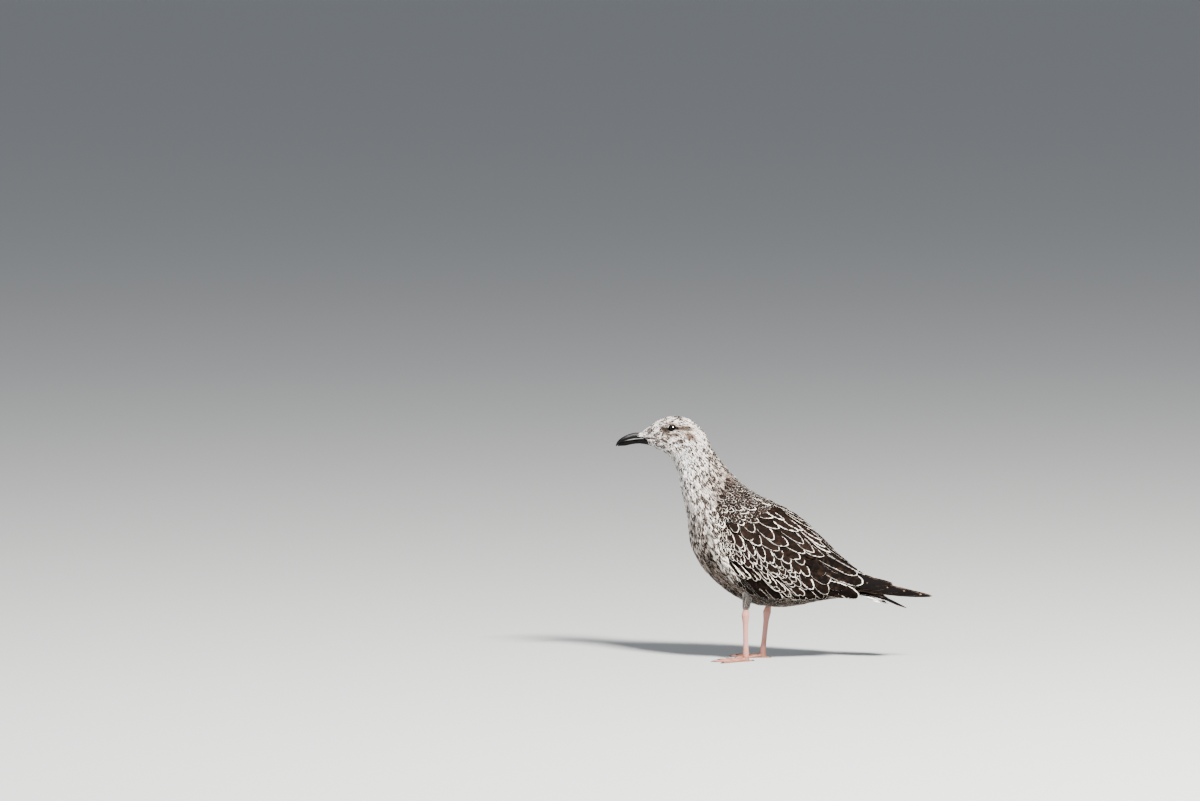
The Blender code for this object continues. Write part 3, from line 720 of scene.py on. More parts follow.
HEAD_FEATHERS = feather_material(
    "head_feathers", (0.82, 0.79, 0.75, 1), (0.26, 0.19, 0.15, 1), 0.85, 0.3, 0.2,
    {"Place": 0.78, "Length": 0.5, "Width": 1.3}, gloss=0.03, shaft_tone=0.3)
BODY_FEATHERS = feather_material(
    "body_feathers", (0.80, 0.75, 0.69, 1), (0.14, 0.095, 0.07, 1), 0.85, 0.4, 0.2,
    {"Place": 0.80, "Length": 0.36, "Width": 1.1}, gloss=0.03, shaft_tone=0.35)
WING_FEATHERS = feather_material(
    "wing_feathers", (0.88, 0.81, 0.71, 1), (0.026, 0.0135, 0.0080, 1), 0.75, 0.5, 0.55,
    {"Place": 0.86, "Length": 0.13, "Width": 0.55}, gloss=0.02, shaft_tone=0.6, ragged=0.9)
FLIGHT_FEATHERS = feather_material(
    "flight_feathers", (0.22, 0.15, 0.105, 1), (0.003, 0.002, 0.0016, 1), 0.75, 0.5, 0.4,
    {"Place": 0.985, "Length": 0.02, "Width": 0.9}, gloss=0.01, shaft_tone=0.3)
print("four feather materials from four shared patterns")

# %% [markdown]
# ## Colours of the coat
# A few named regions hold the ground colour of the plumage, the colour of its marks, how
# strong the marks are and how wide the pale rims. Any place takes a soft mixture of the
# regions near it. Skin and feathers both ask here, so they always agree.

# %% Coat regions
# station, share from back to underside, ground, mark, the mark's strength, rim in millimetres
REGIONS = (
    (0.2, 0.35, (0.82, 0.80, 0.77), (0.07, 0.050, 0.040), 0.36, 0.0),
    (2.2, 0.0, (0.82, 0.76, 0.71), (0.017, 0.011, 0.008), 0.52, 0.0),
    (3.4, 0.05, (0.80, 0.73, 0.68), (0.016, 0.0105, 0.008), 0.52, 0.0),
    (2.6, 0.55, (0.82, 0.75, 0.69), (0.017, 0.011, 0.008), 0.51, 0.0),
    (1.8, 1.0, (0.72, 0.70, 0.68), (0.10, 0.075, 0.06), 0.3, 0.0),
    (3.8, 0.9, (0.74, 0.72, 0.69), (0.06, 0.042, 0.033), 0.36, 0.0),
    (4.6, 0.0, (0.72, 0.66, 0.61), (0.035, 0.022, 0.016), 0.56, 0.0),
    (4.9, 0.45, (0.86, 0.82, 0.78), (0.028, 0.018, 0.013), 0.32, 0.0),
    (5.6, 0.9, (0.84, 0.82, 0.79), (0.06, 0.04, 0.03), 0.27, 0.0),
    (5.9, 0.0, (0.33, 0.27, 0.22), (0.012, 0.008, 0.006), 0.88, 0.0),
    (5.6, 0.3, (0.80, 0.74, 0.68), (0.026, 0.016, 0.011), 0.52, 0.0),
    (6.3, 0.3, (0.56, 0.49, 0.42), (0.016, 0.010, 0.0075), 0.74, 0.0),
    (6.3, 0.55, (0.86, 0.81, 0.76), (0.024, 0.015, 0.011), 0.38, 0.0),
    (6.4, 0.8, (0.88, 0.85, 0.82), (0.036, 0.023, 0.017), 0.35, 0.0),
    (7.0, 0.0, (0.03, 0.019, 0.014), (0.010, 0.006, 0.005), 1.0, 0.25),
    (7.0, 0.35, (0.055, 0.038, 0.029), (0.012, 0.0075, 0.0055), 0.95, 0.2),
    (7.2, 0.6, (0.74, 0.67, 0.61), (0.02, 0.012, 0.009), 0.72, 0.0),
    (7.3, 0.95, (0.90, 0.87, 0.83), (0.028, 0.018, 0.013), 0.34, 0.0),
    (7.9, 0.75, (0.70, 0.63, 0.57), (0.018, 0.011, 0.0085), 0.72, 0.0),
    (8.4, 0.85, (0.54, 0.47, 0.41), (0.016, 0.0105, 0.008), 0.78, 0.02),
    (8.6, 1.0, (0.56, 0.51, 0.47), (0.03, 0.02, 0.0155), 0.7, 0.0),
    (9.2, 0.9, (0.26, 0.20, 0.165), (0.012, 0.008, 0.006), 0.85, 0.1),
    (8.4, 0.25, (0.012, 0.0073, 0.0053), (0.010, 0.006, 0.005), 0.8, 0.3),
    (9.0, 0.60, (0.012, 0.0073, 0.0053), (0.010, 0.006, 0.005), 0.8, 0.3),
    (10.0, 0.30, (0.010, 0.0062, 0.0046), (0.008, 0.005, 0.004), 0.8, 0.3),
    (10.4, 0.70, (0.008, 0.0052, 0.0040), (0.007, 0.005, 0.0035), 0.8, 0.2),
    (11.6, 0.45, (0.006, 0.0042, 0.0034), (0.006, 0.004, 0.003), 0.8, 0.2),
    (12.0, 0.0, (0.010, 0.0065, 0.005), (0.007, 0.005, 0.004), 0.8, 0.4),
    (10.0, 0.92, (0.21, 0.165, 0.125), (0.014, 0.0095, 0.007), 0.66, 0.05),
    (11.2, 1.0, (0.32, 0.265, 0.20), (0.02, 0.0145, 0.011), 0.55, 0.05),
    (12.4, 1.0, (0.34, 0.29, 0.225), (0.02, 0.0145, 0.011), 0.6, 0.05),
    (14.0, 1.0, (0.80, 0.78, 0.73), (0.04, 0.03, 0.022), 0.6, 0.0),
    (14.0, 0.0, (0.02, 0.0135, 0.0105), (0.010, 0.007, 0.0055), 0.8, 0.2),
    (14.0, 0.6, (0.010, 0.007, 0.0055), (0.008, 0.006, 0.005), 0.8, 0.1),
)
REGION_STATIONS, REGION_SHARE = 0.62, 0.30

# small marks at fixed places of the face: x, z, half length, half height, all in millimetres,
# then slope in degrees, colour and strength
FACE_MARKS = (
    (-166.0, 357.6, 8.8, 4.2, -38, (0.010, 0.0075, 0.006), 0.95),
    (-156.5, 350.4, 10.0, 3.0, -4, (0.030, 0.021, 0.016), 0.95),
    (-137.0, 359.2, 17.0, 4.0, -5, (0.030, 0.020, 0.015), 0.82),
    (-150.0, 360.6, 4.0, 1.8, 0, (0.010, 0.007, 0.006), 0.95),
    (-156.0, 366.4, 9.0, 2.0, 4, (0.07, 0.048, 0.038), 0.8),
    (-126.5, 345.5, 10.5, 5.5, -35, (0.045, 0.028, 0.020), 0.8),
    (-166.0, 340.2, 6.5, 2.0, -30, (0.016, 0.011, 0.009), 0.95),
    (-176.5, 343.2, 7.0, 1.2, -5, (0.15, 0.11, 0.09), 0.8),
    (-189.5, 344.3, 9.5, 1.4, 0, (0.010, 0.007, 0.006), 0.95),
    (-152.0, 352.0, 26.0, 11.0, 0, (0.20, 0.145, 0.115), 0.24),
    (-155.0, 370.0, 22.0, 5.0, -5, (0.22, 0.165, 0.14), 0.2),
    (-157.5, 352.6, 5.0, 1.0, -6, (0.72, 0.66, 0.60), 0.85),
    (-150.2, 355.2, 3.4, 1.1, 50, (0.80, 0.76, 0.71), 0.9),
    (-163.2, 359.0, 3.4, 2.4, 10, (0.003, 0.0025, 0.002), 1.0),
    (-148.9, 360.4, 3.6, 2.0, -4, (0.003, 0.0025, 0.002), 1.0),
)


def mix_tones(first, second, part):
    """Colours from first to second, mixed by ratio, as tones are."""
    return np.asarray(first) ** (1 - part) * np.asarray(second) ** part


def mottle(points, size_mm, seed):
    """Smooth random field over space, about -2 to 2, with patches of the given size."""
    rng = np.random.default_rng(seed)
    waves = rng.normal(size=(3, 40)) * 2.2 / (size_mm * MM)
    return np.cos(points @ waves + rng.uniform(0, 2 * math.pi, 40)).sum(axis=1) / math.sqrt(20)


def coat_colours(u, v, points):
    """Ground colour with rim width, and mark colour with strength, at places on the body."""
    table = np.array([(r[0], r[1], *r[2], *r[3], r[4], r[5]) for r in REGIONS])
    far_along = (u[:, None] - table[:, 0]) / REGION_STATIONS
    far_round = (share_at(v)[:, None] - table[:, 1]) / REGION_SHARE
    far = far_along**2 + far_round**2
    weight = np.exp(-0.5 * far) + 1e-9 * np.exp(-0.02 * far)
    weight = weight / weight.sum(1, keepdims=True)
    mixed = np.hstack([np.exp(weight @ np.log(table[:, 2:8])), weight @ table[:, 8:]])
    tint = np.column_stack([mixed[:, 0:3], mixed[:, 7]])
    ink = np.column_stack([mixed[:, 3:6], mixed[:, 6]])
    ink[:, 3] = np.clip(ink[:, 3] * (1 + 0.5 * mottle(points, 9.0, 5)), 0, 1)
    cloudy = np.clip(0.86 - tint[:, 0], 0.04, 0.3) * np.minimum(mottle(points, 5.0, 6), 0.3)
    tint[:, :3] *= np.exp(cloudy)[:, None]
    x, z = points[:, 0] / MM, points[:, 2] / MM
    for cx, cz, long, wide, degrees, colour, strength in FACE_MARKS:
        cos, sin = math.cos(math.radians(degrees)), math.sin(math.radians(degrees))
        out = ((x - cx) * cos + (z - cz) * sin) / long
        aside = ((z - cz) * cos - (x - cx) * sin) / wide
        mark = strength * np.exp(-1.3 * (out**2 + aside**2) ** 1.4)
        tint[:, :3] = mix_tones(tint[:, :3], colour, mark[:, None])
        ink[:, 3] *= 1 - mark
    return tint, ink


print(len(REGIONS), "coat regions and", len(FACE_MARKS), "face marks")

# %% [markdown]
# ## Skin
# One skin lies under all feathers, without a seam from face to tail. It is the body map sunk
# by the coat's depth, raised again under the folded wings, joined with the feathered shanks
# and drawn over once so that all of it is one closed surface.

# %% Skin
# station and the depth of the coat there
COAT_DEPTH_MM = (
    (0, 0.8), (1, 1.2), (3, 1.8), (4, 2.2), (6, 3.2), (8, 4.5), (11, 4.5), (12.5, 3.0), (14, 1.5))
SKIN_CELL, SKIN_PASSES = 1.6 * MM, 4
# the skin follows most of the wing's height, less a gap for the feathers over it
WING_SHARE, WING_GAP = 0.85, 3.5 * MM
SHANK_SLIMMING = 0.72
SHANK_TINT = (0.028, 0.020, 0.0155)
SHANK_TOP_MM, SHANK_FADE_MM = 91, 4
# how much of the marks' colour the skin takes
SKIN_MARKS = 0.55


def closed_grid(points):
    """Faces of a ring grid with both ends closed by a fan."""
    rows, ring = points.shape[:2]
    i, j = np.meshgrid(np.arange(rows - 1), np.arange(ring), indexing="ij")
    k = (j + 1) % ring
    quads = np.stack([i * ring + j, i * ring + k, (i + 1) * ring + k, (i + 1) * ring + j], -1).reshape(-1, 4)
    faces = quads.tolist() + [list(range(ring))[::-1], [(rows - 1) * ring + n for n in range(ring)]]
    return points.reshape(-1, 3).tolist(), faces


def drawn_over(name, parts, cell, passes, swell=0.0):
    """One closed surface drawn over several meshes, softened and then swelled by a little."""
    points, faces = [], []
    for part_points, part_faces in parts:
        faces += [[len(points) + n for n in face] for face in part_faces]
        points += part_points
    mesh = bpy.data.meshes.new(name)
    mesh.from_pydata(points, [], faces)
    rough = add_object(name, mesh)
    remesh = rough.modifiers.new("one surface", "REMESH")
    remesh.mode, remesh.voxel_size = "VOXEL", cell
    soften = rough.modifiers.new("soften", "SMOOTH")
    soften.factor, soften.iterations = 0.5, passes
    fuller = rough.modifiers.new("fuller", "DISPLACE")
    fuller.strength, fuller.mid_level = swell, 0.0
    graph = bpy.context.evaluated_depsgraph_get()
    done = bpy.data.meshes.new_from_object(rough.evaluated_get(graph))
    bpy.data.objects.remove(rough)
    bpy.data.meshes.remove(mesh)
    done.name = name
    return done


def solid_mesh(name):
    """Points and faces of a solid."""
    solid = nodes[name]
    points = [list(solid.matrix_world @ vertex.co) for vertex in solid.data.vertices]
    return points, [list(face.vertices) for face in solid.data.polygons]


def shank_ends(points):
    """Lowest and highest z of a shank, and the middles of both ends."""
    low, high = points[:, 2].min(), points[:, 2].max()
    foot = points[points[:, 2] < low + 1 * MM].mean(0)
    top = points[points[:, 2] > high - 1 * MM].mean(0)
    return low, high, foot, top


def slimmed(name, share):
    """A shank solid drawn in towards its own middle line, to leave room for its feathers."""
    points, faces = solid_mesh(name)
    points = np.array(points)
    low, high, foot, top = shank_ends(points)
    up = ((points[:, 2] - low) / (high - low))[:, None]
    heart = (foot * (1 - up) + top * up)[:, :2]
    points[:, :2] = heart + (points[:, :2] - heart) * share
    return points.tolist(), faces


stations_of_rings = np.linspace(0, STATIONS, RINGS)
wing_height = np.maximum(smooth(lift[..., None], 2)[..., 0] - WING_GAP, 0)
sunk = read_curve(stations_of_rings, COAT_DEPTH_MM)[:, None] * MM - WING_SHARE * wing_height
SKIN = BODY - body["normal"] * sunk[..., None]
shanks = [slimmed(shank_name, SHANK_SLIMMING) for shank_name in ("thigh_left", "thigh_right")]
skin_mesh = drawn_over("skin", [closed_grid(SKIN), *shanks], SKIN_CELL, SKIN_PASSES)
print("skin:", len(skin_mesh.polygons), "faces")

# %% [markdown]
# Each point of the skin takes the coat's colours from the nearest place of the chart, and
# the shanks turn dark.

# %% Skin colours
def nearest_places(points):
    """Chart places nearest to free points."""
    flat = SKIN.reshape(-1, 3)
    finder = KDTree(len(flat))
    for index, spot in enumerate(flat):
        finder.insert(spot, index)
    finder.balance()
    index = np.array([finder.find(point)[1] for point in points])
    return index // SPOKES * STATIONS / (RINGS - 1), index % SPOKES / SPOKES


spots = np.empty(len(skin_mesh.vertices) * 3, np.float32)
skin_mesh.vertices.foreach_get("co", spots)
spots = spots.reshape(-1, 3).astype(float)
skin_u, skin_v = nearest_places(spots)
skin_tint, skin_ink = coat_colours(skin_u, skin_v, spots)
marked = SKIN_MARKS * skin_ink[:, 3:]
shade = np.ones_like(skin_tint)
shade[:, :3] = skin_tint[:, :3] * (1 - marked) + skin_ink[:, :3] * SKIN_MARKS * skin_ink[:, 3:]
shank = np.clip((SHANK_TOP_MM - spots[:, 2] / MM) / SHANK_FADE_MM, 0, 1)[:, None]
shade[:, :3] = mix_tones(shade[:, :3], SHANK_TINT, shank)
set_values(skin_mesh, "tint", "FLOAT_COLOR", shade)


def skin_material():
    material, tree, shader = new_material("downy_skin", 0.95)
    down = node(tree, "ShaderNodeTexNoise", {"Scale": 900})
    colour = blend(tree, 0.12, read_values(tree, "tint"), (0.12, 0.10, 0.09, 1))
    tree.links.new(colour, shader.inputs["Base Color"])
    add_relief(tree, shader, down, 0.5, 0.4 * MM)
    return material


skinned = ["head", "neck", "trunk", "thigh_left", "thigh_right"]
add_piece("skin", skin_mesh, skin_material(), skinned)
print("skin takes its colours from", len(REGIONS), "regions")

# %% [markdown]
# ## Where feathers are rooted
# Body feathers stand evenly but not in a grid. `scatter` throws places at random over a
# region and keeps each one that isn't too near an earlier one.

# %% Scatter
# how many places are tried for each one that would fit
TRIES = 7
NEIGHBOURS = [(dx, dy, dz) for dx in (-1, 0, 1) for dy in (-1, 0, 1) for dz in (-1, 0, 1)]


def crowded(taken, key, here, gap):
    """Whether an earlier place lies nearer than the gap. taken holds the places by box."""
    for step in NEIGHBOURS:
        box = (key[0] + step[0], key[1] + step[1], key[2] + step[2])
        for other in taken.get(box, ()):
            if (here[0] - other[0]) ** 2 + (here[1] - other[1]) ** 2 + (here[2] - other[2]) ** 2 < gap**2:
                return True
    return False


def scatter(chart, spacing, keep, seed):
    """Even random places: spacing(u) in metres, keep(u, share) says where."""
    rng = np.random.default_rng(seed)
    u, v = np.meshgrid(stations_of_rings, np.arange(SPOKES) / SPOKES, indexing="ij")
    wanted = keep(u, share_at(v)) * 1.0
    gap = spacing(u)
    chance = chart["along"] * chart["around"] * wanted / gap**2
    cell_area = chart["along"] * chart["around"] * STATIONS / (RINGS - 1) / SPOKES
    count = int(TRIES * (cell_area * wanted / gap**2).sum())
    cells = rng.choice(chance.size, count, p=(chance / chance.sum()).ravel())
    tries_u = u.ravel()[cells] + rng.uniform(-0.5, 0.5, count) * STATIONS / (RINGS - 1)
    tries_v = (v.ravel()[cells] + rng.uniform(-0.5, 0.5, count) / SPOKES) % 1
    spots = sample(chart["points"], tries_u, tries_v)
    gaps = spacing(tries_u)
    keys = np.floor(spots / gaps.max()).astype(int).tolist()
    taken, kept = {}, []
    for n, here in enumerate(spots.tolist()):
        if not crowded(taken, keys[n], here, gaps[n]):
            taken.setdefault(tuple(keys[n]), []).append(here)
            kept.append(n)
    return tries_u[kept], tries_v[kept]


print("each place tried", TRIES, "times over")

# %% [markdown]
# `lay` turns places into feathers. A feather's tip lies at its place and its root is found
# by walking back over the chart.

# %% Lay feathers
# a feather is dropped where one step of its line jumps further than this share of its length
MOST_STEP = 0.6
MOST_SKEW = 0.3


def lay(chart, u, v, turn, length, half_width, depth, top, tint, ink, rng, rows, section=FINE,
        outline=contour_outline, camber=0.04, thick=0.14 * MM, roll=0.12, lean=0.0, slope=None,
        cell=PATCH, patch=None, skew=0.1, sweep=0.08, ripple=0.0):
    """Feathers with their tips at u, v: the root lies `depth` under the surface, the tip `top` over it.
    roll is the random tilt about the shaft, lean the steady one that lifts the lower edge."""
    count = len(u)
    steps = even_steps(rows)
    side = np.where(np.asarray(v) % 1 < 0.5, 1, -1)
    us, vs = trail(chart, u, v, turn, length, steps, slope)
    spot, normal = sample(chart["points"], us, vs), unit(sample(chart["normal"], us, vs))
    depth, top = per_feather(depth, count)[:, None], per_feather(top, count)[:, None]
    height = -depth + (top + depth) * steps[None] ** 0.8
    spine = spot + normal * height[..., None]
    step = np.linalg.norm(np.diff(spine, axis=1), axis=2).max(axis=1)
    whole = step < MOST_STEP * per_feather(length, count)
    if patch is None:
        patch = np.column_stack([np.clip(us[:, 0] / STATIONS, 0.01, 0.99), np.clip(vs[:, 0] % 1, 0.01, 0.99)])
    tilt = rng.normal(size=count) * roll - lean * side
    seeds = rng.uniform(size=count)
    wide = per_feather(half_width, count)
    skews, sweeps = rng.normal(size=count) * skew, rng.normal(size=count) * sweep
    return make_vanes(
        spine[whole], normal[whole], wide[whole], outline, section, steps, tint[whole], ink[whole],
        seeds[whole], patch[whole], thick=thick, camber=camber, roll=tilt[whole], cell=cell,
        skew=np.clip(skews, -MOST_SKEW, MOST_SKEW)[whole], sweep=sweeps[whole], ripple=ripple)


def vary(colours, rng, amount):
    """A little lighter or darker from feather to feather."""
    changed = colours.copy()
    changed[:, :3] *= np.clip(1 + amount * rng.normal(size=(len(colours), 1)), 0.5, 1.5)
    return changed


def sparse(ink, points, size_mm, rng, evenness):
    """Marks come in blotches of a few feathers: strong places mark nearly all, weak ones few."""
    changed = ink.copy()
    chance = np.clip(0.5 + 0.42 * mottle(points, size_mm, 8) + 0.08 * rng.normal(size=len(ink)), 0, 1)
    changed[:, 3] = np.clip((ink[:, 3] - chance) * 9 + evenness, 0, 1)
    return changed


print("feathers are laid by", lay.__name__)

# %% [markdown]
# ## Feathers of the head
# The face has the smallest feathers on the bird, barely two millimetres long at the bill,
# and they lengthen over crown and nape. None may grow across the eye, so those that would
# reach it are left out and a ring of tiny ones edges the lids instead.

# %% Head feathers
EYE_CENTRE = [sum(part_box(name), Vector()) / 2 for name in ("eye_left", "eye_right")]
EYE_CLEAR = 6.1 * MM
HEAD_START, HEAD_END = -0.35, 4.9
EYELID_REACH, EYELID_CLEAR = 11.5 * MM, 5.95 * MM


def eye_distance(points):
    return np.minimum(*[np.linalg.norm(points - np.array(centre), axis=-1) for centre in EYE_CENTRE])


def head_feathers(seed):
    rng = np.random.default_rng(seed)
    u, v = scatter(body, lambda u: (0.80 + 0.13 * np.clip(u, 0, 5)) * MM, lambda u, share: u < HEAD_END, seed)
    length = (3.2 + 1.15 * np.clip(u, 0, 5)) * MM * rng.uniform(0.8, 1.2, len(u))
    spot = sample(body["points"], u, v)
    tint, ink = coat_colours(u, v, spot)
    tint, ink = vary(tint, rng, 0.07), sparse(ink, spot, 2.2, rng, 0.1)
    turn = rng.normal(size=len(u)) * 0.12
    us, vs = trail(body, u, v, turn, length, even_steps(5))
    line = sample(body["points"], us, vs)
    clear = (eye_distance(line).min(axis=1) > EYE_CLEAR) & (us[:, 0] > HEAD_START)
    u, v, length, tint, ink, turn = (a[clear] for a in (u, v, length, tint, ink, turn))
    return lay(body, u, v, turn, length, length * rng.uniform(0.09, 0.13, len(u)), 0.9 * MM,
               rng.uniform(0.0, 0.45, len(u)) * MM, tint, ink, rng, rows=5, camber=0.03, thick=0.09 * MM,
               outline=soft_outline, roll=0.32)


def eyelid_feathers(seed):
    """Tiny feathers that close the coat up to the lids."""
    rng = np.random.default_rng(seed)
    u, v = scatter(body, lambda u: 0.62 * MM + 0 * u, lambda u, share: (u > 0.3) & (u < 4), seed)
    near = eye_distance(sample(body["points"], u, v)) < EYELID_REACH
    u, v = u[near], v[near]
    length = rng.uniform(1.5, 2.4, len(u)) * MM
    us, vs = trail(body, u, v, 0 * u, length, even_steps(4))
    clear = eye_distance(sample(body["points"], us, vs)).min(axis=1) > EYELID_CLEAR
    u, v, length = u[clear], v[clear], length[clear]
    tint, ink = coat_colours(u, v, sample(body["points"], u, v))
    ink[:, 3] = 0
    return lay(body, u, v, 0 * u, length, length * 0.13, 0.9 * MM, 0.05 * MM, vary(tint, rng, 0.08), ink, rng,
               rows=4, camber=0.02, thick=0.08 * MM, outline=soft_outline)


# where the coat runs forward over the bill's side: x and z of its edges, in front, on top and below
WEDGE_FRONT_MM = ((-208.0, 347.0), (-205.0, 350.8), (-202.5, 354.6))
WEDGE_TOP_MM = ((-202.5, 354.6), (-192.0, 346.5))
WEDGE_LOW_MM = ((-208.0, 347.0), (-204.0, 346.0), (-192.0, 344.8))
WEDGE_START_MM, WEDGE_PEAK_MM, WEDGE_END_MM = -208.0, -202.5, -193.0
WEDGE_STEP_MM = (0.62, 0.55)
# a feather's three points: how far back from its tip and how high over the bill, in millimetres
WEDGE_LINE_MM = ((3.0, -0.35), (1.5, 0.10), (0.0, 0.18))
WEDGE_LONGEST = 4.5 * MM


def bill_base_feathers(seed):
    """The smallest feathers, on the side of the bill's base, in front of the even coat."""
    rng = np.random.default_rng(seed)
    base = tree_of("bill_upper", "head")
    spines, faces = [], []
    for x in np.arange(WEDGE_START_MM, WEDGE_END_MM, WEDGE_STEP_MM[0]):
        top = read_curve(x, WEDGE_FRONT_MM if x < WEDGE_PEAK_MM else WEDGE_TOP_MM)
        for z in np.arange(read_curve(x, WEDGE_LOW_MM), top, WEDGE_STEP_MM[1]):
            for side in (1, -1):
                tip_x, tip_z = x + rng.normal() * 0.25, z + rng.normal() * 0.2
                line = []
                for back, over in WEDGE_LINE_MM:
                    start = Vector(((tip_x - back) * MM, -side * 0.04, (tip_z + back * 0.12) * MM))
                    spot, normal = base.ray_cast(start, Vector((0, side, 0)))[:2]
                    if spot is not None:
                        line.append(spot + normal * over * MM)
                if len(line) == 3 and (line[0] - line[2]).length < WEDGE_LONGEST:
                    spines.append(line)
                    faces.append(normal)
    spines, faces = np.array(spines), np.array(faces)
    count, steps = len(spines), np.array((0.0, 0.5, 1.0))
    tint, ink = coat_colours(np.full(count, 0.2), turn_at(np.full(count, 0.35)), spines[:, 2])
    tint, ink = vary(tint, rng, 0.12), sparse(ink, spines[:, 2], 1.5, rng, 0.2)
    normal = np.broadcast_to(faces[:, None], spines.shape)
    patch = np.column_stack([rng.uniform(0.0, 0.02, count), rng.uniform(0.02, 0.98, count)])
    return make_vanes(
        spines, normal, 0.36 * MM, soft_outline, FINE, steps, tint, ink, rng.uniform(size=count), patch,
        thick=0.08 * MM, camber=0.02, roll=rng.normal(size=count) * 0.1)


make_piece("head_feathers", [head_feathers(11), eyelid_feathers(12), bill_base_feathers(13)], HEAD_FEATHERS,
           "head_feathers", ["head"])

# %% [markdown]
# ## Feathers of neck, breast and belly
# Going down the neck the feathers grow from eight to about twenty millimetres, always
# pointing tailward. Brown drops near their tips make the streaks of a young bird.

# %% Neck, breast and belly feathers
WING_FRONT = 7.3
# station and share of the folded wing's lower edge, and how far the body feathers run under it
WING_EDGE = (
    (7.0, 0.46), (7.6, 0.58), (8.0, 0.63), (9.0, 0.74), (10.0, 0.78), (11.0, 0.76), (12.3, 0.84),
    (14.1, 0.90))
UNDER_WING = 0.05


def under_wing(u, share):
    """Whether the folded wing covers the body."""
    return (u > WING_FRONT) & (share < read_curve(u, WING_EDGE) - UNDER_WING)


def coat_tract(seed, start, end, gap_mm, length_mm, slim, depth_mm):
    """Small feathers between two stations. Gap and length change evenly from start to end."""
    rng = np.random.default_rng(seed)
    ends = (start, end)
    u, v = scatter(body, lambda u: np.interp(u, ends, gap_mm) * MM,
                   lambda u, share: (u >= start) & (u < end) & ~under_wing(u, share), seed)
    length = np.interp(u, ends, length_mm) * MM * rng.uniform(0.85, 1.2, len(u))
    spot = sample(body["points"], u, v)
    tint, ink = coat_colours(u, v, spot)
    tint, ink = vary(tint, rng, 0.08), sparse(ink, spot, 0.25 * np.mean(length_mm), rng, 0.15)
    tint[:, 3] *= rng.uniform(0.4, 1.4, len(u))
    turns = rng.normal(size=len(u)) * 0.13
    return lay(body, u, v, turns, length, length * slim * rng.uniform(0.85, 1.15, len(u)), depth_mm * MM,
               rng.uniform(0.0, 0.7, len(u)) * MM, tint, ink, rng, rows=7, camber=0.035, outline=soft_outline,
               roll=0.26)


neck_batch = coat_tract(21, HEAD_END - 0.35, 7.0, (1.6, 2.5), (8.5, 15.0), 0.15, 1.8)
make_piece("neck_feathers", [neck_batch], BODY_FEATHERS, "body_feathers", ["neck"])
breast_batch = coat_tract(31, 6.9, 9.2, (2.4, 3.1), (15.0, 20.0), 0.16, 2.6)
belly_batch = coat_tract(41, 9.1, 13.8, (3.0, 2.8), (19.0, 18.0), 0.15, 2.8)
make_piece("breast_feathers", [breast_batch], BODY_FEATHERS, "body_feathers", ["trunk"])
make_piece("belly_feathers", [belly_batch], BODY_FEATHERS, "body_feathers", ["trunk"])

# %% [markdown]
# ## Mantle and shoulder feathers
# Over the upper back the feathers turn dark with pale rims and grow broad. The scapulars
# lie like roof tiles from the mantle down to the wing. The larger ones are placed singly:
# each row gives where its tip lies, how it points, and how long and broad it is.

# %% Mantle and scapulars
COVERT_TINT = (0.0050, 0.0030, 0.0022)
COVERT_INK = (0.05, 0.03, 0.02)
# station, share, slope in degrees, length and half width in millimetres
SCAPULARS = (
    (7.33, 0.435, 20, 18, 4.5), (7.42, 0.37, 16, 19, 4.6), (7.50, 0.28, 16, 22, 5.0),
    (7.60, 0.06, 28, 22, 5.0), (7.67, 0.60, 48, 18, 4.6), (7.70, 0.26, 20, 24, 5.5),
    (7.75, 0.17, 22, 28, 6.0), (7.83, 0.565, 56, 20, 5.0), (7.92, 0.34, 45, 26, 6.5),
    (8.00, 0.40, 55, 26, 6.6), (8.00, 0.05, 30, 28, 5.5), (8.17, 0.50, 60, 26, 7.0),
    (8.22, 0.26, 32, 32, 7.0), (8.30, 0.02, 32, 34, 6.0), (8.42, 0.146, 25, 40, 7.4),
    (8.45, 0.37, 50, 30, 7.6), (8.67, 0.435, 60, 34, 9.0), (8.67, 0.555, 62, 28, 7.0),
    (8.83, 0.10, 36, 42, 6.4), (8.90, 0.015, 33, 40, 6.4), (8.92, 0.196, 27, 46, 8.4),
    (9.00, 0.402, 58, 36, 9.0), (9.10, 0.30, 40, 38, 8.4), (9.40, 0.02, 36, 44, 6.5),
    (9.50, 0.12, 28, 50, 8.0), (9.50, 0.339, 34, 46, 8.8), (9.58, 0.25, 32, 54, 10.6),
    (9.67, 0.08, 38, 50, 6.8), (9.75, 0.40, 55, 34, 8.6), (9.92, 0.012, 36, 52, 6.5),
    (9.95, 0.165, 35, 50, 8.4), (10.10, 0.37, 56, 34, 8.6), (10.25, 0.222, 36, 58, 11.0),
    (10.25, 0.285, 30, 48, 9.2), (10.42, 0.435, 62, 34, 9.0), (10.45, 0.32, 60, 36, 9.0),
    (10.45, 0.02, 40, 52, 6.5), (10.50, 0.16, 40, 54, 8.8), (10.75, 0.06, 40, 54, 7.0),
    (10.92, 0.13, 38, 56, 9.0), (11.08, 0.06, 42, 60, 8.0), (11.25, 0.006, 44, 60, 7.0),
    (7.75, 0.008, 30, 22, 5.6), (8.05, 0.006, 30, 26, 6.0), (8.60, 0.006, 32, 34, 6.6),
    (9.15, 0.006, 34, 38, 7.0), (9.65, 0.006, 36, 42, 7.2), (10.20, 0.005, 38, 46, 7.6),
    (10.80, 0.005, 42, 50, 8.0), (11.70, 0.005, 42, 54, 8.4),
)
# the share of the bake map that the cells of broad feathers fill
ATLAS = 0.98
JITTER_DEGREES = 60


def atlas_cells(count):
    """Bake patches for broad feathers: one square cell each."""
    per_row = math.ceil(math.sqrt(count))
    index = np.arange(count)
    return (np.column_stack([index % per_row, index // per_row]) + 0.5) / per_row, ATLAS / per_row


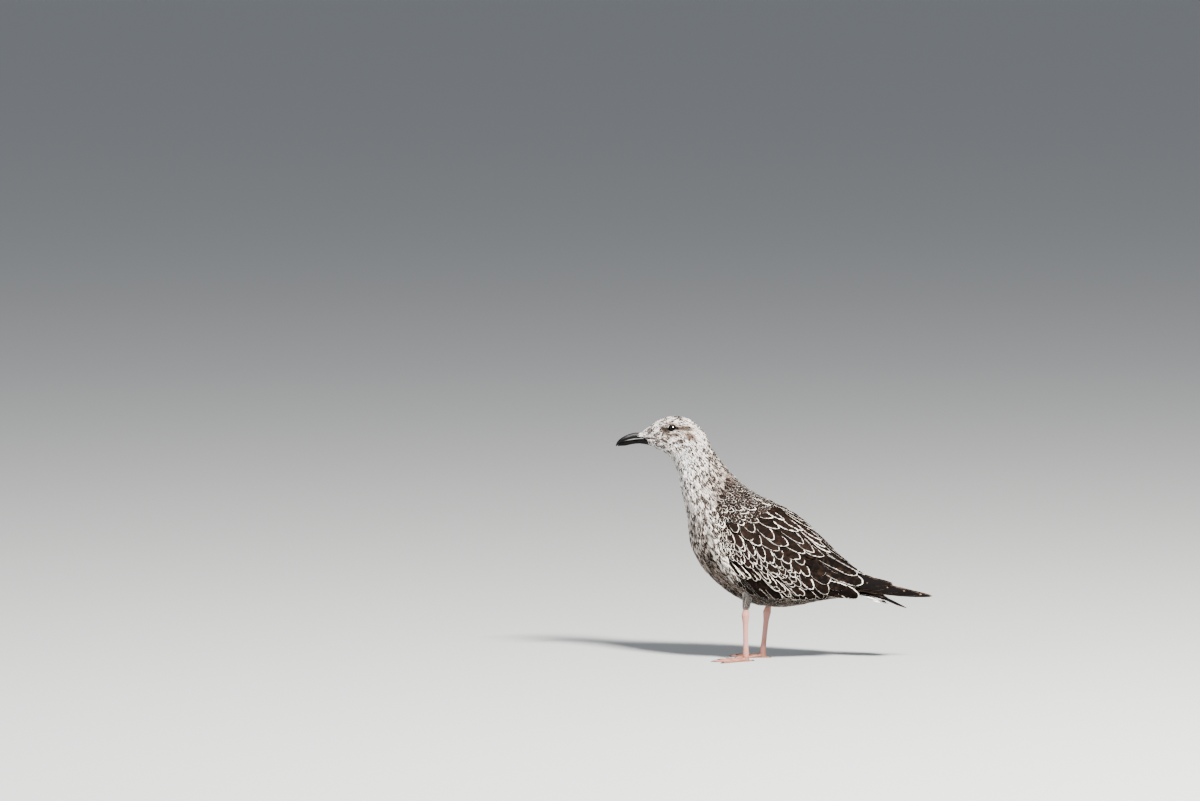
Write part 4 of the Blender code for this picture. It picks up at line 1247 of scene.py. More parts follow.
def both_sides(rows):
    """Table rows for the left side, then for the right."""
    table = np.array(rows, float)
    return np.vstack([table, table]), np.repeat((1, -1), len(table))


def flat_colour(rgb, last, count):
    return np.tile(np.array([*rgb, last], float), (count, 1))


def tile_outline(t):
    """Shoulder feather: broad, with a blunt, slightly pointed end."""
    rise = 0.3 + 0.7 * np.sin(np.clip(t / 0.62, 0, 1) * math.pi / 2)
    fall = np.clip(1 - np.clip((t - 0.55) / 0.452, 0, 1) ** 1.9, 0, 1) ** 0.62
    return rise * fall


def placed_tract(rows, seed, depth_mm, top_mm, rim_mm, tint=COVERT_TINT, outline=tile_outline, steps=16,
                 jitter=0.02):
    """Broad feathers placed singly on both wings."""
    rng = np.random.default_rng(seed)
    table, side = both_sides(rows)
    count = len(table)
    table[:, 0] += rng.normal(size=count) * jitter
    share = np.clip(table[:, 1] + rng.normal(size=count) * jitter * 0.3, 0.004, 0.99)
    slope = np.radians(table[:, 2] + rng.normal(size=count) * JITTER_DEGREES * jitter)
    colour = vary(flat_colour(tint, 0, count), rng, 0.2)
    colour[:, 3] = rim_mm * rng.uniform(0.6, 1.4, count) * np.clip(60 * share, 0.35, 1)
    patch, cell = atlas_cells(count)
    top = (top_mm + rng.uniform(-0.25, 0.25, count)) * MM
    return lay(
        wing_chart, table[:, 0], turn_at(share, side), 0, table[:, 3] * MM, table[:, 4] * MM, depth_mm * MM,
        top, colour, flat_colour(COVERT_INK, 0.0, count), rng, section=BROAD, rows=steps, outline=outline,
        camber=0.045, thick=0.45 * MM, roll=0.05, lean=0.09, slope=slope, cell=cell, patch=patch, skew=0.14,
        sweep=0.10, ripple=0.035)


# station and share down to which the mantle reaches
MANTLE_REACH = ((6.0, 0.02), (6.6, 0.20), (7.0, 0.50), (7.6, 0.56), (8.1, 0.30))
MANTLE_TINT = (0.007, 0.0042, 0.003)


def mantle_batch(seed):
    """Dark feathers of the upper back. Where they start, a random part of them keeps the neck's colours."""
    rng = np.random.default_rng(seed)
    u, v = scatter(wing_chart, lambda u: np.interp(u, (6.1, 8.0), (3.2, 4.6)) * MM,
                   lambda u, share: (u > 6.1) & (u < 8.1) & (share < read_curve(u, MANTLE_REACH)), seed)
    length = np.interp(u, (6.1, 8.0), (10.5, 16.0)) * MM * rng.uniform(0.85, 1.15, len(u))
    tint, ink = coat_colours(u, v, sample(body["points"], u, v))
    uneven = 0.3 * np.random.default_rng(seed + 1).normal(size=len(u))
    blend_in = np.clip((u - 5.95) / 0.75 + uneven, 0.08, 1)[:, None]
    tint[:, :3] = mix_tones(tint[:, :3], MANTLE_TINT, blend_in)
    tint[:, 3] = (0.07 + 0.14 * blend_in[:, 0]) * rng.uniform(0.1, 1.8, len(u))
    ink[:, 3] *= 1 - blend_in[:, 0]
    slope = np.radians(np.interp(share_at(v), (0.0, 0.25, 0.6), (40, 16, 10)) + 10 * rng.normal(size=len(u)))
    return lay(wing_chart, u, v, 0, length, length * 0.23, 2.2 * MM,
               rng.uniform(0.2, 0.8, len(u)) * MM, vary(tint, rng, 0.2), ink, rng, section=MEDIUM, rows=8,
               camber=0.04, thick=0.3 * MM, slope=slope)


SHOULDERS = ["scapulars_left", "scapulars_right"]
make_piece("mantle_feathers", [mantle_batch(51)], BODY_FEATHERS, "wing_feathers", SHOULDERS)
scapular_batch = placed_tract(SCAPULARS, 61, 2.8, 0.9, 0.9)
make_piece("scapular_feathers", [scapular_batch], WING_FEATHERS, "wing_feathers", SHOULDERS)

# %% [markdown]
# ## The folded wing
# Below the scapulars the wing shows small scaly lesser coverts at the bend, then median
# coverts, then the long greater coverts that slant down over the dark secondaries.

# %% Wing coverts
# each row is a line of tips (station, share), then how many feathers, their slope at both ends
# in degrees, and in millimetres length and half width at both ends, depth, height and rim
COVERT_ROWS = {
    "secondaries": (((9.25, 0.79), (9.5, 0.83), (9.83, 0.855), (10.15, 0.85), (10.5, 0.79), (10.9, 0.76),
                     (11.3, 0.73), (11.8, 0.73)), 17, (50, 36), (34, 48), (4.0, 5.2), 3.0, 0.5, 0.34),
    "greater": (((8.1, 0.68), (8.6, 0.735), (9.0, 0.775), (9.25, 0.78), (9.5, 0.71), (9.75, 0.655),
                 (10.08, 0.625), (10.25, 0.66), (10.42, 0.69), (10.67, 0.70), (11.0, 0.70), (11.17, 0.67)),
                32, (56, 42), (24, 42), (2.4, 4.2), 2.4, 0.7, 0.62),
    "greater_inner": (((8.9, 0.67), (9.4, 0.61), (9.8, 0.565), (10.2, 0.54), (10.7, 0.59), (11.1, 0.57)),
                      13, (56, 44), (28, 42), (3.0, 5.0), 2.3, 0.9, 0.7),
    "median_low": (((8.1, 0.66), (8.7, 0.68), (9.1, 0.64), (9.5, 0.57), (10.0, 0.51), (10.6, 0.53)),
                   20, (62, 60), (19, 28), (2.8, 5.0), 2.2, 1.0, 0.6),
    "median": (((8.2, 0.62), (8.9, 0.60), (9.3, 0.53), (9.8, 0.47), (10.5, 0.48)),
               14, (66, 62), (20, 30), (3.2, 6.0), 2.2, 1.2, 0.66),
    "median_high": (((8.5, 0.575), (9.1, 0.53), (9.6, 0.455), (10.2, 0.43), (10.8, 0.40)),
                    9, (66, 60), (26, 34), (5.2, 7.2), 2.2, 1.3, 0.8),
}


def rows_on_line(line, count, slopes, lengths, wide):
    """Feather table for tips spread evenly on a line over the wing."""
    line = np.array(line)
    reach = np.concatenate([[0], np.cumsum(np.hypot(np.diff(line[:, 0]), 2.5 * np.diff(line[:, 1])))])
    at = np.linspace(0, reach[-1], count)
    part = at / reach[-1]
    places = [np.interp(at, reach, line[:, 0]), np.interp(at, reach, line[:, 1])]
    return np.column_stack(places + [np.interp(part, (0, 1), ends) for ends in (slopes, lengths, wide)])


print(sum(row[1] for row in COVERT_ROWS.values()), "coverts on a side in", len(COVERT_ROWS), "rows")

# %% [markdown]
# Lesser coverts are scattered over the bend of the wing. Plain dark feathers lie low under
# all rows, so that no skin shows between them, and loose pale feathers of the breast's side
# fall over the wing's front edge.

# %% Small feathers of the wing
# station and share of the upper and lower edge of the lesser coverts
LESSER_TOP = ((7.1, 0.50), (8.0, 0.56), (8.7, 0.60))
LESSER_LOW = ((7.1, 0.60), (7.6, 0.64), (8.0, 0.70), (8.7, 0.74))
# station and share of the upper and lower edge of the loose flank feathers
FLANK_TOP = ((7.2, 0.57), (7.8, 0.64), (8.4, 0.70), (9.0, 0.765), (9.5, 0.80))
FLANK_LOW = ((7.2, 0.64), (7.8, 0.72), (8.4, 0.80), (9.0, 0.84), (9.5, 0.86))
LESSER_TINT, FILLER_TINT = (0.007, 0.0042, 0.003), (0.0048, 0.0030, 0.0022)
FLANK_TINT, FLANK_INK = (0.70, 0.63, 0.56), (0.016, 0.010, 0.0075)


def band(start, end, top, low):
    """A test of whether a place lies between two stations and between two edges."""
    def inside(u, share):
        return (u > start) & (u < end) & (share > read_curve(u, top)) & (share < read_curve(u, low))

    return inside


def lesser_batch(seed):
    rng = np.random.default_rng(seed)
    u, v = scatter(wing_chart, lambda u: 3.7 * MM + 0 * u, band(7.15, 8.8, LESSER_TOP, LESSER_LOW), seed)
    length = np.interp(u, (7.1, 8.5), (9.5, 15.0)) * MM * rng.uniform(0.85, 1.15, len(u))
    colour = vary(flat_colour(LESSER_TINT, 0.7, len(u)), rng, 0.25)
    colour[:, 3] = rng.uniform(0.15, 0.62, len(u))
    return lay(
        wing_chart, u, v, 0, length, length * 0.19, 2.0 * MM, rng.uniform(0.4, 1.0, len(u)) * MM, colour,
        flat_colour(COVERT_INK, 0.15, len(u)), rng, section=MEDIUM, rows=9, camber=0.035, thick=0.3 * MM,
        slope=np.radians(52 + 9 * rng.normal(size=len(u))))


def filler_batch(seed):
    """Plain dark feathers low over the whole folded wing."""
    rng = np.random.default_rng(seed)
    u, v = scatter(wing_chart, lambda u: 5.0 * MM + 0 * u,
                   lambda u, share: (u > WING_FRONT) & (u < 12.0) & (share < read_curve(u, WING_EDGE) - 0.02),
                   seed)
    slope = np.interp(u, (7.5, 9.0, 12.0), (50, 52, 34)) * np.clip(0.45 + share_at(v), 0, 1)
    length = np.interp(u, (7.3, 9.0, 12.0), (16, 26, 34)) * MM
    colour = vary(flat_colour(FILLER_TINT, 0.0, len(u)), rng, 0.2)
    return lay(
        wing_chart, u, v, 0, length, length * 0.21, 3.4 * MM, rng.uniform(-1.6, -1.0, len(u)) * MM, colour,
        flat_colour(COVERT_INK, 0.0, len(u)), rng, section=MEDIUM, rows=6, thick=0.3 * MM,
        slope=np.radians(slope))


def flank_batch(seed):
    """Loose pale feathers of the breast side that lie over the wing's front edge."""
    rng = np.random.default_rng(seed)
    u, v = scatter(wing_chart, lambda u: 2.3 * MM + 0 * u, band(7.2, 9.5, FLANK_TOP, FLANK_LOW), seed)
    spot = sample(wing_chart["points"], u, v)
    tint = vary(flat_colour(FLANK_TINT, 0.0, len(u)), rng, 0.12)
    ink = sparse(flat_colour(FLANK_INK, 0.62, len(u)), spot, 4.0, rng, 0.1)
    length = rng.uniform(13, 19, len(u)) * MM
    return lay(
        wing_chart, u, v, 0, length, length * 0.15, 1.6 * MM, rng.uniform(0.9, 2.0, len(u)) * MM, tint,
        ink, rng, rows=8, camber=0.04, thick=0.12 * MM, outline=soft_outline,
        slope=np.radians(50 + 11 * rng.normal(size=len(u))), sweep=0.16)


make_piece("flank_feathers", [flank_batch(83)], BODY_FEATHERS, "body_feathers", ["trunk"])

# %% [markdown]
# The secondaries come first and darkest, and the long rows have even, blade-like feathers.
# All of them are one piece with the filler and the lesser coverts.

# %% Join the coverts
SECONDARY_TINT = (0.0036, 0.0024, 0.0018)
LONG_ROWS = ("secondaries", "greater", "greater_inner")
wing_batches = [filler_batch(82)]
for number, (row_name, row) in enumerate(COVERT_ROWS.items()):
    line, count, slopes, lengths, wide, *heights_and_rim = row
    wing_batches.append(placed_tract(
        rows_on_line(line, count, slopes, lengths, wide), 70 + number, *heights_and_rim,
        tint=SECONDARY_TINT if row_name == "secondaries" else COVERT_TINT,
        outline=blade_outline if row_name in LONG_ROWS else tile_outline, steps=14, jitter=0.05))
wing_batches.append(lesser_batch(81))
make_piece("wing_coverts", wing_batches, WING_FEATHERS, "wing_feathers", ["wing_left", "wing_right"])

# %% [markdown]
# ## Tertials
# Behind the coverts lie the tertials, the broadest feathers of all, black-brown with thick
# white rims that are widest at the tip.

# %% Tertials
# station, share, slope in degrees, length and half width in millimetres
TERTIALS = (
    (11.75, 0.42, 42, 56, 11.0), (12.17, 0.01, 38, 70, 8.0), (12.75, 0.01, 33, 82, 8.0),
    (12.75, 0.10, 29, 82, 9.5), (13.42, 0.01, 35, 84, 7.5), (13.50, 0.25, 27, 86, 11.5),
    (13.72, 0.68, 18, 80, 10.0),
)
# darker ones between them, without a pale rim
TERTIAL_FILL = (
    (12.0, 0.16, 38, 64, 10.0), (12.3, 0.30, 36, 66, 11.0), (12.6, 0.22, 32, 74, 10.5),
    (12.5, 0.46, 30, 70, 11.0), (12.4, 0.64, 24, 66, 10.5), (13.0, 0.40, 26, 78, 10.5),
    (13.1, 0.62, 20, 74, 10.0), (12.0, 0.74, 24, 54, 9.0), (11.4, 0.30, 42, 56, 10.0),
    (11.2, 0.42, 48, 46, 9.5),
)
# two of the innermost coverts, broad and brown, lie over all of them
INNER_GREATER = ((11.30, 0.56, 50, 38, 8.0), (11.92, 0.63, 48, 46, 10.0))
TERTIAL_TINT = (0.0030, 0.0021, 0.0018)
tertial_batches = [
    placed_tract(TERTIAL_FILL, 92, 3.4, -0.2, 0.15, TERTIAL_TINT, blade_outline, steps=20, jitter=0.0),
    placed_tract(TERTIALS, 91, 2.8, 1.4, 0.95, TERTIAL_TINT, blade_outline, steps=24, jitter=0.0),
    placed_tract(INNER_GREATER, 93, 2.2, 2.6, 1.0, steps=20, jitter=0.0),
]
make_piece(
    "tertial_feathers", tertial_batches, WING_FEATHERS, "wing_feathers", ["tertials_left", "tertials_right"])

# %% [markdown]
# ## Primaries and tail
# The long wing tips cross over the tail. Each primary is a stiff narrow blade whose root is
# hidden under the tertials, and each shorter one lies on the next longer one. The tail is a
# closed fan of twelve, seen on edge from the side.

# %% Primaries
# x, y, z of the tip and of the root, and half width, all in millimetres, for the left wing
PRIMARIES = (
    (247.4, -8.0, 98.2, 112.0, -17.0, 115.0, 6.8),
    (230.5, -9.2, 101.6, 110.0, -18.0, 116.0, 7.6),
    (204.5, -10.8, 106.8, 107.0, -19.0, 117.5, 8.4),
    (178.0, -12.8, 112.4, 104.0, -20.0, 119.0, 9.2),
    (160.0, -14.5, 115.2, 101.0, -20.5, 121.0, 9.8),
    (146.0, -15.5, 119.6, 98.0, -21.0, 122.0, 10.0),
    (186.0, -9.5, 116.5, 104.0, -15.0, 124.0, 6.6),
    (160.0, -9.5, 122.5, 100.0, -14.0, 129.0, 7.0),
)
PRIMARY_STEP = 0.55 * MM
PRIMARY_FACE = np.array((0.10, -0.86, 0.50))
PRIMARY_TINT, PRIMARY_INK = (0.0032, 0.0026, 0.0025), (0.22, 0.145, 0.09)


def bowed(root, tip, bow, steps):
    """Points from root to tip, bowed to one side in the middle."""
    t = steps[None, :, None]
    return root[:, None] * (1 - t) + tip[:, None] * t + bow[:, None] * 4 * t * (1 - t)


def primary_batch(side, seed):
    rng = np.random.default_rng(seed)
    table = np.array(PRIMARIES) * MM
    flip = np.array((1, side, 1))
    tip, root = table[:, 0:3] * flip, table[:, 3:6] * flip
    order = np.arange(len(table))[:, None]
    face = unit(PRIMARY_FACE * flip)
    tip, root = tip + face * PRIMARY_STEP * order * 0.5, root + face * PRIMARY_STEP * order
    steps = even_steps(22, 1.3)
    spine = bowed(root, tip, np.tile(face * 1.5 * MM, (len(table), 1)), steps)
    normal = np.broadcast_to(face, spine.shape)
    patch, cell = atlas_cells(len(table) * 2)
    patch = patch[:len(table)] if side > 0 else patch[len(table):]
    tint = vary(flat_colour(PRIMARY_TINT, 0.22, len(table)), rng, 0.08)
    return make_vanes(spine, normal, table[:, 6], point_outline, BROAD, steps, tint,
                      flat_colour(PRIMARY_INK, 0.6, len(table)), rng.uniform(size=len(table)), patch,
                      thick=0.5 * MM, camber=0.03, cell=cell)


primary_batches = [primary_batch(1, 101), primary_batch(-1, 102)]
make_piece(
    "primary_feathers", primary_batches, FLIGHT_FEATHERS, "flight_feathers",
    ["primaries_left", "primaries_right"])

# %% [markdown]
# The tail feathers fan out a little from the rump. Coverts cover their roots from above and
# below, black above and white underneath.

# %% Tail
TAIL_LOW, TAIL_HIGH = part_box("tail")
TAIL_COUNT = 12
TAIL_FACE = np.array((0.42, 0.0, 0.91))
TAIL_TINT, TAIL_INK = (0.0036, 0.0028, 0.0026), (0.10, 0.07, 0.05)
UNDER_TINT, UPPER_TINT, TUFT_TINT = (0.84, 0.82, 0.78), (0.004, 0.003, 0.0026), (0.88, 0.86, 0.82)
COVERT_MARK = (0.03, 0.022, 0.017)


def tail_batch(seed):
    rng = np.random.default_rng(seed)
    place = (np.arange(TAIL_COUNT) - TAIL_COUNT / 2 + 0.5) / (TAIL_COUNT / 2)
    root = np.column_stack([
        np.full(TAIL_COUNT, TAIL_LOW.x - 6 * MM), place * 10 * MM, np.full(TAIL_COUNT, 105.0 * MM)])
    tip = np.column_stack([
        TAIL_HIGH.x - 1 * MM - 14 * MM * place**2,
        place * (TAIL_HIGH.y - 6 * MM),
        TAIL_LOW.z + 0.6 * MM + 6 * MM * place**2])
    steps = even_steps(18, 1.3)
    spine = bowed(root, tip, np.tile((0, 0, 5.4 * MM), (TAIL_COUNT, 1)), steps)
    normal = np.broadcast_to(unit(TAIL_FACE), spine.shape).copy()
    normal[..., 1] += place[:, None] * 0.16
    patch, cell = atlas_cells(TAIL_COUNT)
    tint = vary(flat_colour(TAIL_TINT, 0.08, TAIL_COUNT), rng, 0.1)
    return make_vanes(spine, normal, 6.4 * MM, blade_outline, BROAD, steps, tint,
                      flat_colour(TAIL_INK, 0.3, TAIL_COUNT), rng.uniform(size=TAIL_COUNT), patch,
                      thick=0.5 * MM, camber=0.05, roll=0.03, cell=cell)


def tail_covert_batch(seed, under):
    """Rows of soft feathers on the tail's root: black above, white with dark marks underneath."""
    rng = np.random.default_rng(seed)
    spines, faces = [], []
    steps = even_steps(8)
    slope = -0.30 if under else -0.34
    for row in range(5):
        for y in np.linspace(-1, 1, 9 + row % 2):
            out = y * (13 + row) * MM
            reach_x = (142 + 8 * row + 4 * (1 - abs(y)) + rng.normal()) * MM
            top = 97.0 * MM + (reach_x - 148 * MM) * slope - (1.0 * MM if under else -9.0 * MM)
            tip = np.array((reach_x, out, top))
            root = tip - np.array((17, 0, 17 * slope)) * MM + np.array((0, 0, 1.5 if under else -1.5)) * MM
            spines.append((root, tip))
            faces.append((-0.2 if under else 0.2, y * 0.5, -1 if under else 1))
    ends = np.array(spines)
    spine = bowed(ends[:, 0], ends[:, 1], np.array(faces) * 0.8 * MM, steps)
    normal = np.broadcast_to(unit(np.array(faces))[:, None], spine.shape)
    count = len(spine)
    patch = np.column_stack([0.5 + rng.uniform(-0.4, 0.4, count), rng.uniform(0.05, 0.95, count)])
    tint = vary(flat_colour(UNDER_TINT if under else UPPER_TINT, 0.0, count), rng, 0.05)
    return make_vanes(spine, normal, 3.0 * MM, contour_outline, MEDIUM, steps, tint,
                      flat_colour(COVERT_MARK, 0.25 if under else 0.0, count), rng.uniform(size=count), patch,
                      thick=0.3 * MM, camber=0.03, roll=0.05)


def tail_side_batch(seed):
    """Loose white tufts that show on both sides below the tail's root."""
    rng = np.random.default_rng(seed)
    count = 30
    side = np.repeat((1, -1), count // 2)
    reach = rng.uniform(0, 1, count)
    tip = np.column_stack([
        158 + 15 * reach,
        -side * rng.uniform(14.0, 18.5, count),
        95.0 - 5.5 * reach + rng.normal(size=count) * 1.4]) * MM
    root = tip - np.column_stack([np.full(count, 15.0), -side * 1.5, np.full(count, -3.8)]) * MM
    steps = even_steps(7)
    face = unit(np.column_stack([np.zeros(count), -side * 1.0, np.full(count, -0.25)]))
    spine = bowed(root, tip, face * 0.5 * MM, steps)
    normal = np.broadcast_to(face[:, None], spine.shape)
    patch = np.column_stack([rng.uniform(0.1, 0.9, count), rng.uniform(0.05, 0.95, count)])
    return make_vanes(spine, normal, 1.5 * MM, soft_outline, FINE, steps,
                      vary(flat_colour(TUFT_TINT, 0.0, count), rng, 0.05),
                      flat_colour(COVERT_MARK, 0.0, count), rng.uniform(size=count), patch,
                      thick=0.2 * MM, camber=0.03, roll=0.05)


make_piece("tail_feathers", [tail_batch(111)], FLIGHT_FEATHERS, "flight_feathers", ["tail"])
tail_covert_batches = [tail_covert_batch(112, True), tail_covert_batch(113, False), tail_side_batch(114)]
make_piece("tail_coverts", tail_covert_batches, BODY_FEATHERS, "body_feathers", ["tail"])

# %% [markdown]
# ## Shank feathers
# Short dark feathers clothe each shank down to just over the bare part of the leg.

# %% Shank feathers
SHANK_FEATHER = 8.0 * MM
SHANK_HEIGHT, SHANK_STEP, SHANK_TURN = 26 * MM, 1.5 * MM, 0.24
SHANK_INK = (0.02, 0.014, 0.011)
# rays start this far out, and skin further than MOST_REACH from the middle belongs to the trunk
RAY_OUT, MOST_REACH = 0.02, 0.015
skin_tree = BVHTree.FromPolygons(
    [vertex.co for vertex in skin_mesh.vertices], [face.vertices for face in skin_mesh.polygons])


def shank_batch(name, seed):
    """Feathers rooted on the skin all round the shank, found by rays that run in to its middle line."""
    rng = np.random.default_rng(seed)
    low, high, foot, top = shank_ends(np.array(solid_mesh(name)[0]))
    ends, faces = [], []

    def skin_at(z, away):
        up = np.clip((z - low) / (high - low), 0, 1)
        heart = Vector((foot * (1 - up) + top * up)[:2].tolist() + [z])
        hit = skin_tree.ray_cast(heart + away * RAY_OUT, -away)[0]
        return hit if hit is not None and (hit - heart).length < MOST_REACH else None

    for z in np.arange(low + SHANK_STEP, low + SHANK_HEIGHT, SHANK_STEP):
        for turn in np.arange(0, 2 * math.pi, SHANK_TURN) + rng.uniform(0, SHANK_TURN):
            away = Vector((math.cos(turn), math.sin(turn), 0))
            spot = skin_at(z + rng.normal() * 0.5 * MM, away)
            above = skin_at(z + SHANK_FEATHER, away)
            if spot is None:
                continue
            root = spot + Vector((0, 0, SHANK_FEATHER)) if above is None else above
            tip = spot + away * rng.uniform(0.2, 0.7) * MM - Vector((0, 0, 1.2 * MM))
            ends.append((root - away * 0.8 * MM, tip))
            faces.append((*away[:2], -0.2))
    ends, faces = np.array(ends), unit(np.array(faces))
    steps = even_steps(6)
    spine = bowed(ends[:, 0], ends[:, 1], faces * 0.6 * MM, steps)
    normal = np.broadcast_to(faces[:, None], spine.shape)
    count = len(spine)
    tint = vary(flat_colour(SHANK_TINT, 0.1, count), rng, 0.35)
    patch = np.column_stack([rng.uniform(0.02, 0.98, count), rng.uniform(0.02, 0.98, count)])
    return make_vanes(spine, normal, 1.0 * MM, soft_outline, FINE, steps, tint,
                      flat_colour(SHANK_INK, 0.6, count), rng.uniform(size=count), patch,
                      thick=0.14 * MM, camber=0.012, roll=0.1)


shank_batches = [shank_batch("thigh_left", 121), shank_batch("thigh_right", 122)]
make_piece("shank_feathers", shank_batches, BODY_FEATHERS, "body_feathers", ["thigh_left", "thigh_right"])

# %% [markdown]
# ## Bill
# The bill is two horny sheaths. Each is drawn again from its solid with many more points.
# The upper one is dark with a paler grey band along its side and a hooked tip, the lower
# one has a dull pink base.

# %% Bill
BILL_RINGS, BILL_SPOKES = 72, 64
BILL_PASSES = 3


def smooth_open(grid):
    """Softens facets but keeps both ends where they are."""
    for _ in range(BILL_PASSES):
        soft = (np.roll(grid, 1, 1) + 2 * grid + np.roll(grid, -1, 1)) / 4
        soft[1:-1] = (soft[:-2] + 2 * soft[1:-1] + soft[2:]) / 4
        soft[0], soft[-1] = grid[0], grid[-1]
        grid = soft
    return grid


def bill_surface(name, upper):
    """Rings of points across a bill half, from rays that run inward to its solid. Where the halves
    meet, the lower one rises and the upper one sinks a little, so that no gap shows."""
    low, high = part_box(name)
    tree = tree_of(name)
    inner, shift = (-1, -0.25) if upper else (1, 0.9)
    rings = []
    for x in np.linspace(high.x - 0.4 * MM, low.x + 0.1 * MM, BILL_RINGS):
        above = tree.ray_cast(Vector((x, 0, high.z + 0.01)), Vector((0, 0, -1)))[0]
        below = tree.ray_cast(Vector((x, 0, low.z - 0.01)), Vector((0, 0, 1)))[0]
        if above is None or below is None:
            continue
        middle, half = (above.z + below.z) / 2, (above.z - below.z) / 2
        beside = tree.ray_cast(Vector((x, -0.03, middle)), Vector((0, 1, 0)))[0]
        wide = -beside.y if beside is not None else half
        ring = []
        for turn in np.arange(BILL_SPOKES) * 2 * math.pi / BILL_SPOKES:
            ray = Vector((0, -math.sin(turn) * wide, math.cos(turn) * half))
            start = Vector((x, 0, middle)) + ray * 1.6
            hit = tree.ray_cast(start, -ray)[0]
            spot = hit if hit is not None else Vector((x, 0, middle)) + ray
            facing = max(0.0, math.cos(turn) * inner)
            spot.z += facing**0.5 * shift * MM
            ring.append(spot)
        rings.append(ring)
    return smooth_open(np.array(rings))


def horn_material():
    """Horn with a fine grain drawn out along the bill."""
    material, tree, shader = new_material("bill_horn", 0.36, 0.06)
    stretched = node(tree, "ShaderNodeMapping", {"Vector": object_place(tree), "Scale": (60, 400, 400)})
    grain = noise_at(tree, stretched, 3.0, 4.0)
    tone = ramp(tree, grain, 0.32, 0.68, 0.5, 1.5)
    tree.links.new(scaled(tree, read_values(tree, "band"), tone), shader.inputs["Base Color"])
    add_relief(tree, shader, grain, 0.25, 0.15 * MM)
    return material


HORN = horn_material()
print("horn sheaths of", BILL_RINGS, "rings")

# %% [markdown]
# The horn's colours follow its form: a pale streak over the cutting edge, a grey side, a
# dark ridge and hook, and the slit of the nostril, which is painted shade for the inside of
# the opening and is also pressed in a little.

# %% Colours of the bill
# middle, half length and half height, and slope of the nostril slit
NOSTRIL_MM = ((-214.0, 347.0), (3.4, 0.75), -0.14)
NOSTRIL_DEPTH = 0.5 * MM
HORN_DARK, HORN_GREY, HORN_PINK = (0.0022, 0.002, 0.002), (0.17, 0.165, 0.168), (0.045, 0.016, 0.012)


def nostril(grid):
    """1 in the nostril slit on both sides of the upper bill, 0 away from it."""
    (x, z), (long, tall), slope = NOSTRIL_MM
    dx = grid[..., 0] / MM - x
    dz = grid[..., 2] / MM - z - slope * dx
    return np.exp(-(((dx / long) ** 2 + (dz / tall) ** 2) ** 1.5))


def bill_colour(grid, upper):
    """Black horn, grey on the upper half's side, dull pink at the lower half's base."""
    low, high = grid[..., 0].min(), grid[..., 0].max()
    along = (high - grid[..., 0]) / (high - low)
    share = share_at(np.linspace(0, 1, BILL_SPOKES, endpoint=False))[None] + 0 * along
    if upper:
        reach = np.clip((along + 0.05) / 0.1, 0, 1) * np.clip((0.80 - along) / 0.2, 0, 1)
        edge = np.exp(-(((share - 0.735) / 0.055) ** 4)) * reach
        side = 0.66 * np.exp(-(((share - 0.24) / 0.19) ** 4)) * np.clip((0.9 - along) / 0.3, 0, 1)
        # the nostril slit keeps the dark horn: painted shade for the inside of the opening
        return mix_tones(HORN_DARK, HORN_GREY, (np.maximum(edge, side) * (1 - nostril(grid)))[..., None])
    return mix_tones(HORN_DARK, HORN_PINK, np.clip((0.13 - along) / 0.10, 0, 1)[..., None])


def opaque(colours):
    """Colours with a fourth value of 1."""
    return np.concatenate([colours, np.ones((*colours.shape[:-1], 1))], -1)


def make_bill(name, upper):
    grid = bill_surface(name, upper)
    colour = opaque(bill_colour(grid, upper))
    if upper:
        grid[..., 1] -= np.sign(grid[..., 1]) * nostril(grid) * NOSTRIL_DEPTH
    mesh = bpy.data.meshes.new(name + "_horn")
    points, faces = closed_grid(grid)
    mesh.from_pydata(points, [], faces)
    set_values(mesh, "band", "FLOAT_COLOR", colour)
    add_piece(name + "_horn", mesh, HORN, [name])
    print(name, "drawn again with", len(mesh.polygons), "faces")


make_bill("bill_upper", True)
make_bill("bill_lower", False)

# %% [markdown]
# ## Eyes
# A young gull's eye is nearly black-brown. Each is a ball whose clear coat lies only on a small
# patch where the key lamp's reflection falls, a painted highlight, in a lid ring that is dark
# at the edge and downy farther out.

# %% Eyes
BALL_ROWS, BALL_RING = 24, 40
# the way the eye looks, and the way in which its painted glint patch lies, toward the key lamp's reflection,
# for the left side
EYE_AXIS, GLINT_WAY = (-0.12, -1.0, 0.10), (0.12, -0.88, 0.45)
GLINT_START, GLINT_FADE = 0.955, 0.03


def plain_material(name, colour, rough, specular=0.5):
    material, tree, shader = new_material(name, rough, specular)
    shader.inputs["Base Color"].default_value = (*colour, 1)
    return material, tree, shader


EYE_BROWN, eye_nodes, eye_shader = plain_material("eye_brown", (0.0004, 0.0003, 0.0003), 0.05, 0.10)
eye_shader.inputs["Coat IOR"].default_value = 2.3
eye_shader.inputs["Coat Roughness"].default_value = 0.03
# the coat lies only on the painted glint patch: a painted highlight where the key lamp reflects, while the
# rest of the ball stays dark
eye_nodes.links.new(read_values(eye_nodes, "painted_glint_patch", "Fac"), eye_shader.inputs["Coat Weight"])
LID_SKIN, lid_nodes, lid_shader = plain_material("lid_skin", (0.002, 0.0016, 0.0015), 0.6, 0.03)
lid_nodes.links.new(read_values(lid_nodes, "band"), lid_shader.inputs["Base Color"])


def ball_grid(centre, radius, axis):
    """Rings of a ball about an axis."""
    first = unit(np.cross(axis, (0.0, 0.0, 1.0)))
    second = np.cross(axis, first)
    fall = np.linspace(0.03, math.pi - 0.03, BALL_ROWS)[:, None, None]
    turn = (np.arange(BALL_RING) * 2 * math.pi / BALL_RING)[None, :, None]
    round_axis = np.cos(turn) * first + np.sin(turn) * second
    return np.array(centre) + radius * (np.cos(fall) * axis + np.sin(fall) * round_axis)


print("eye and lid materials")

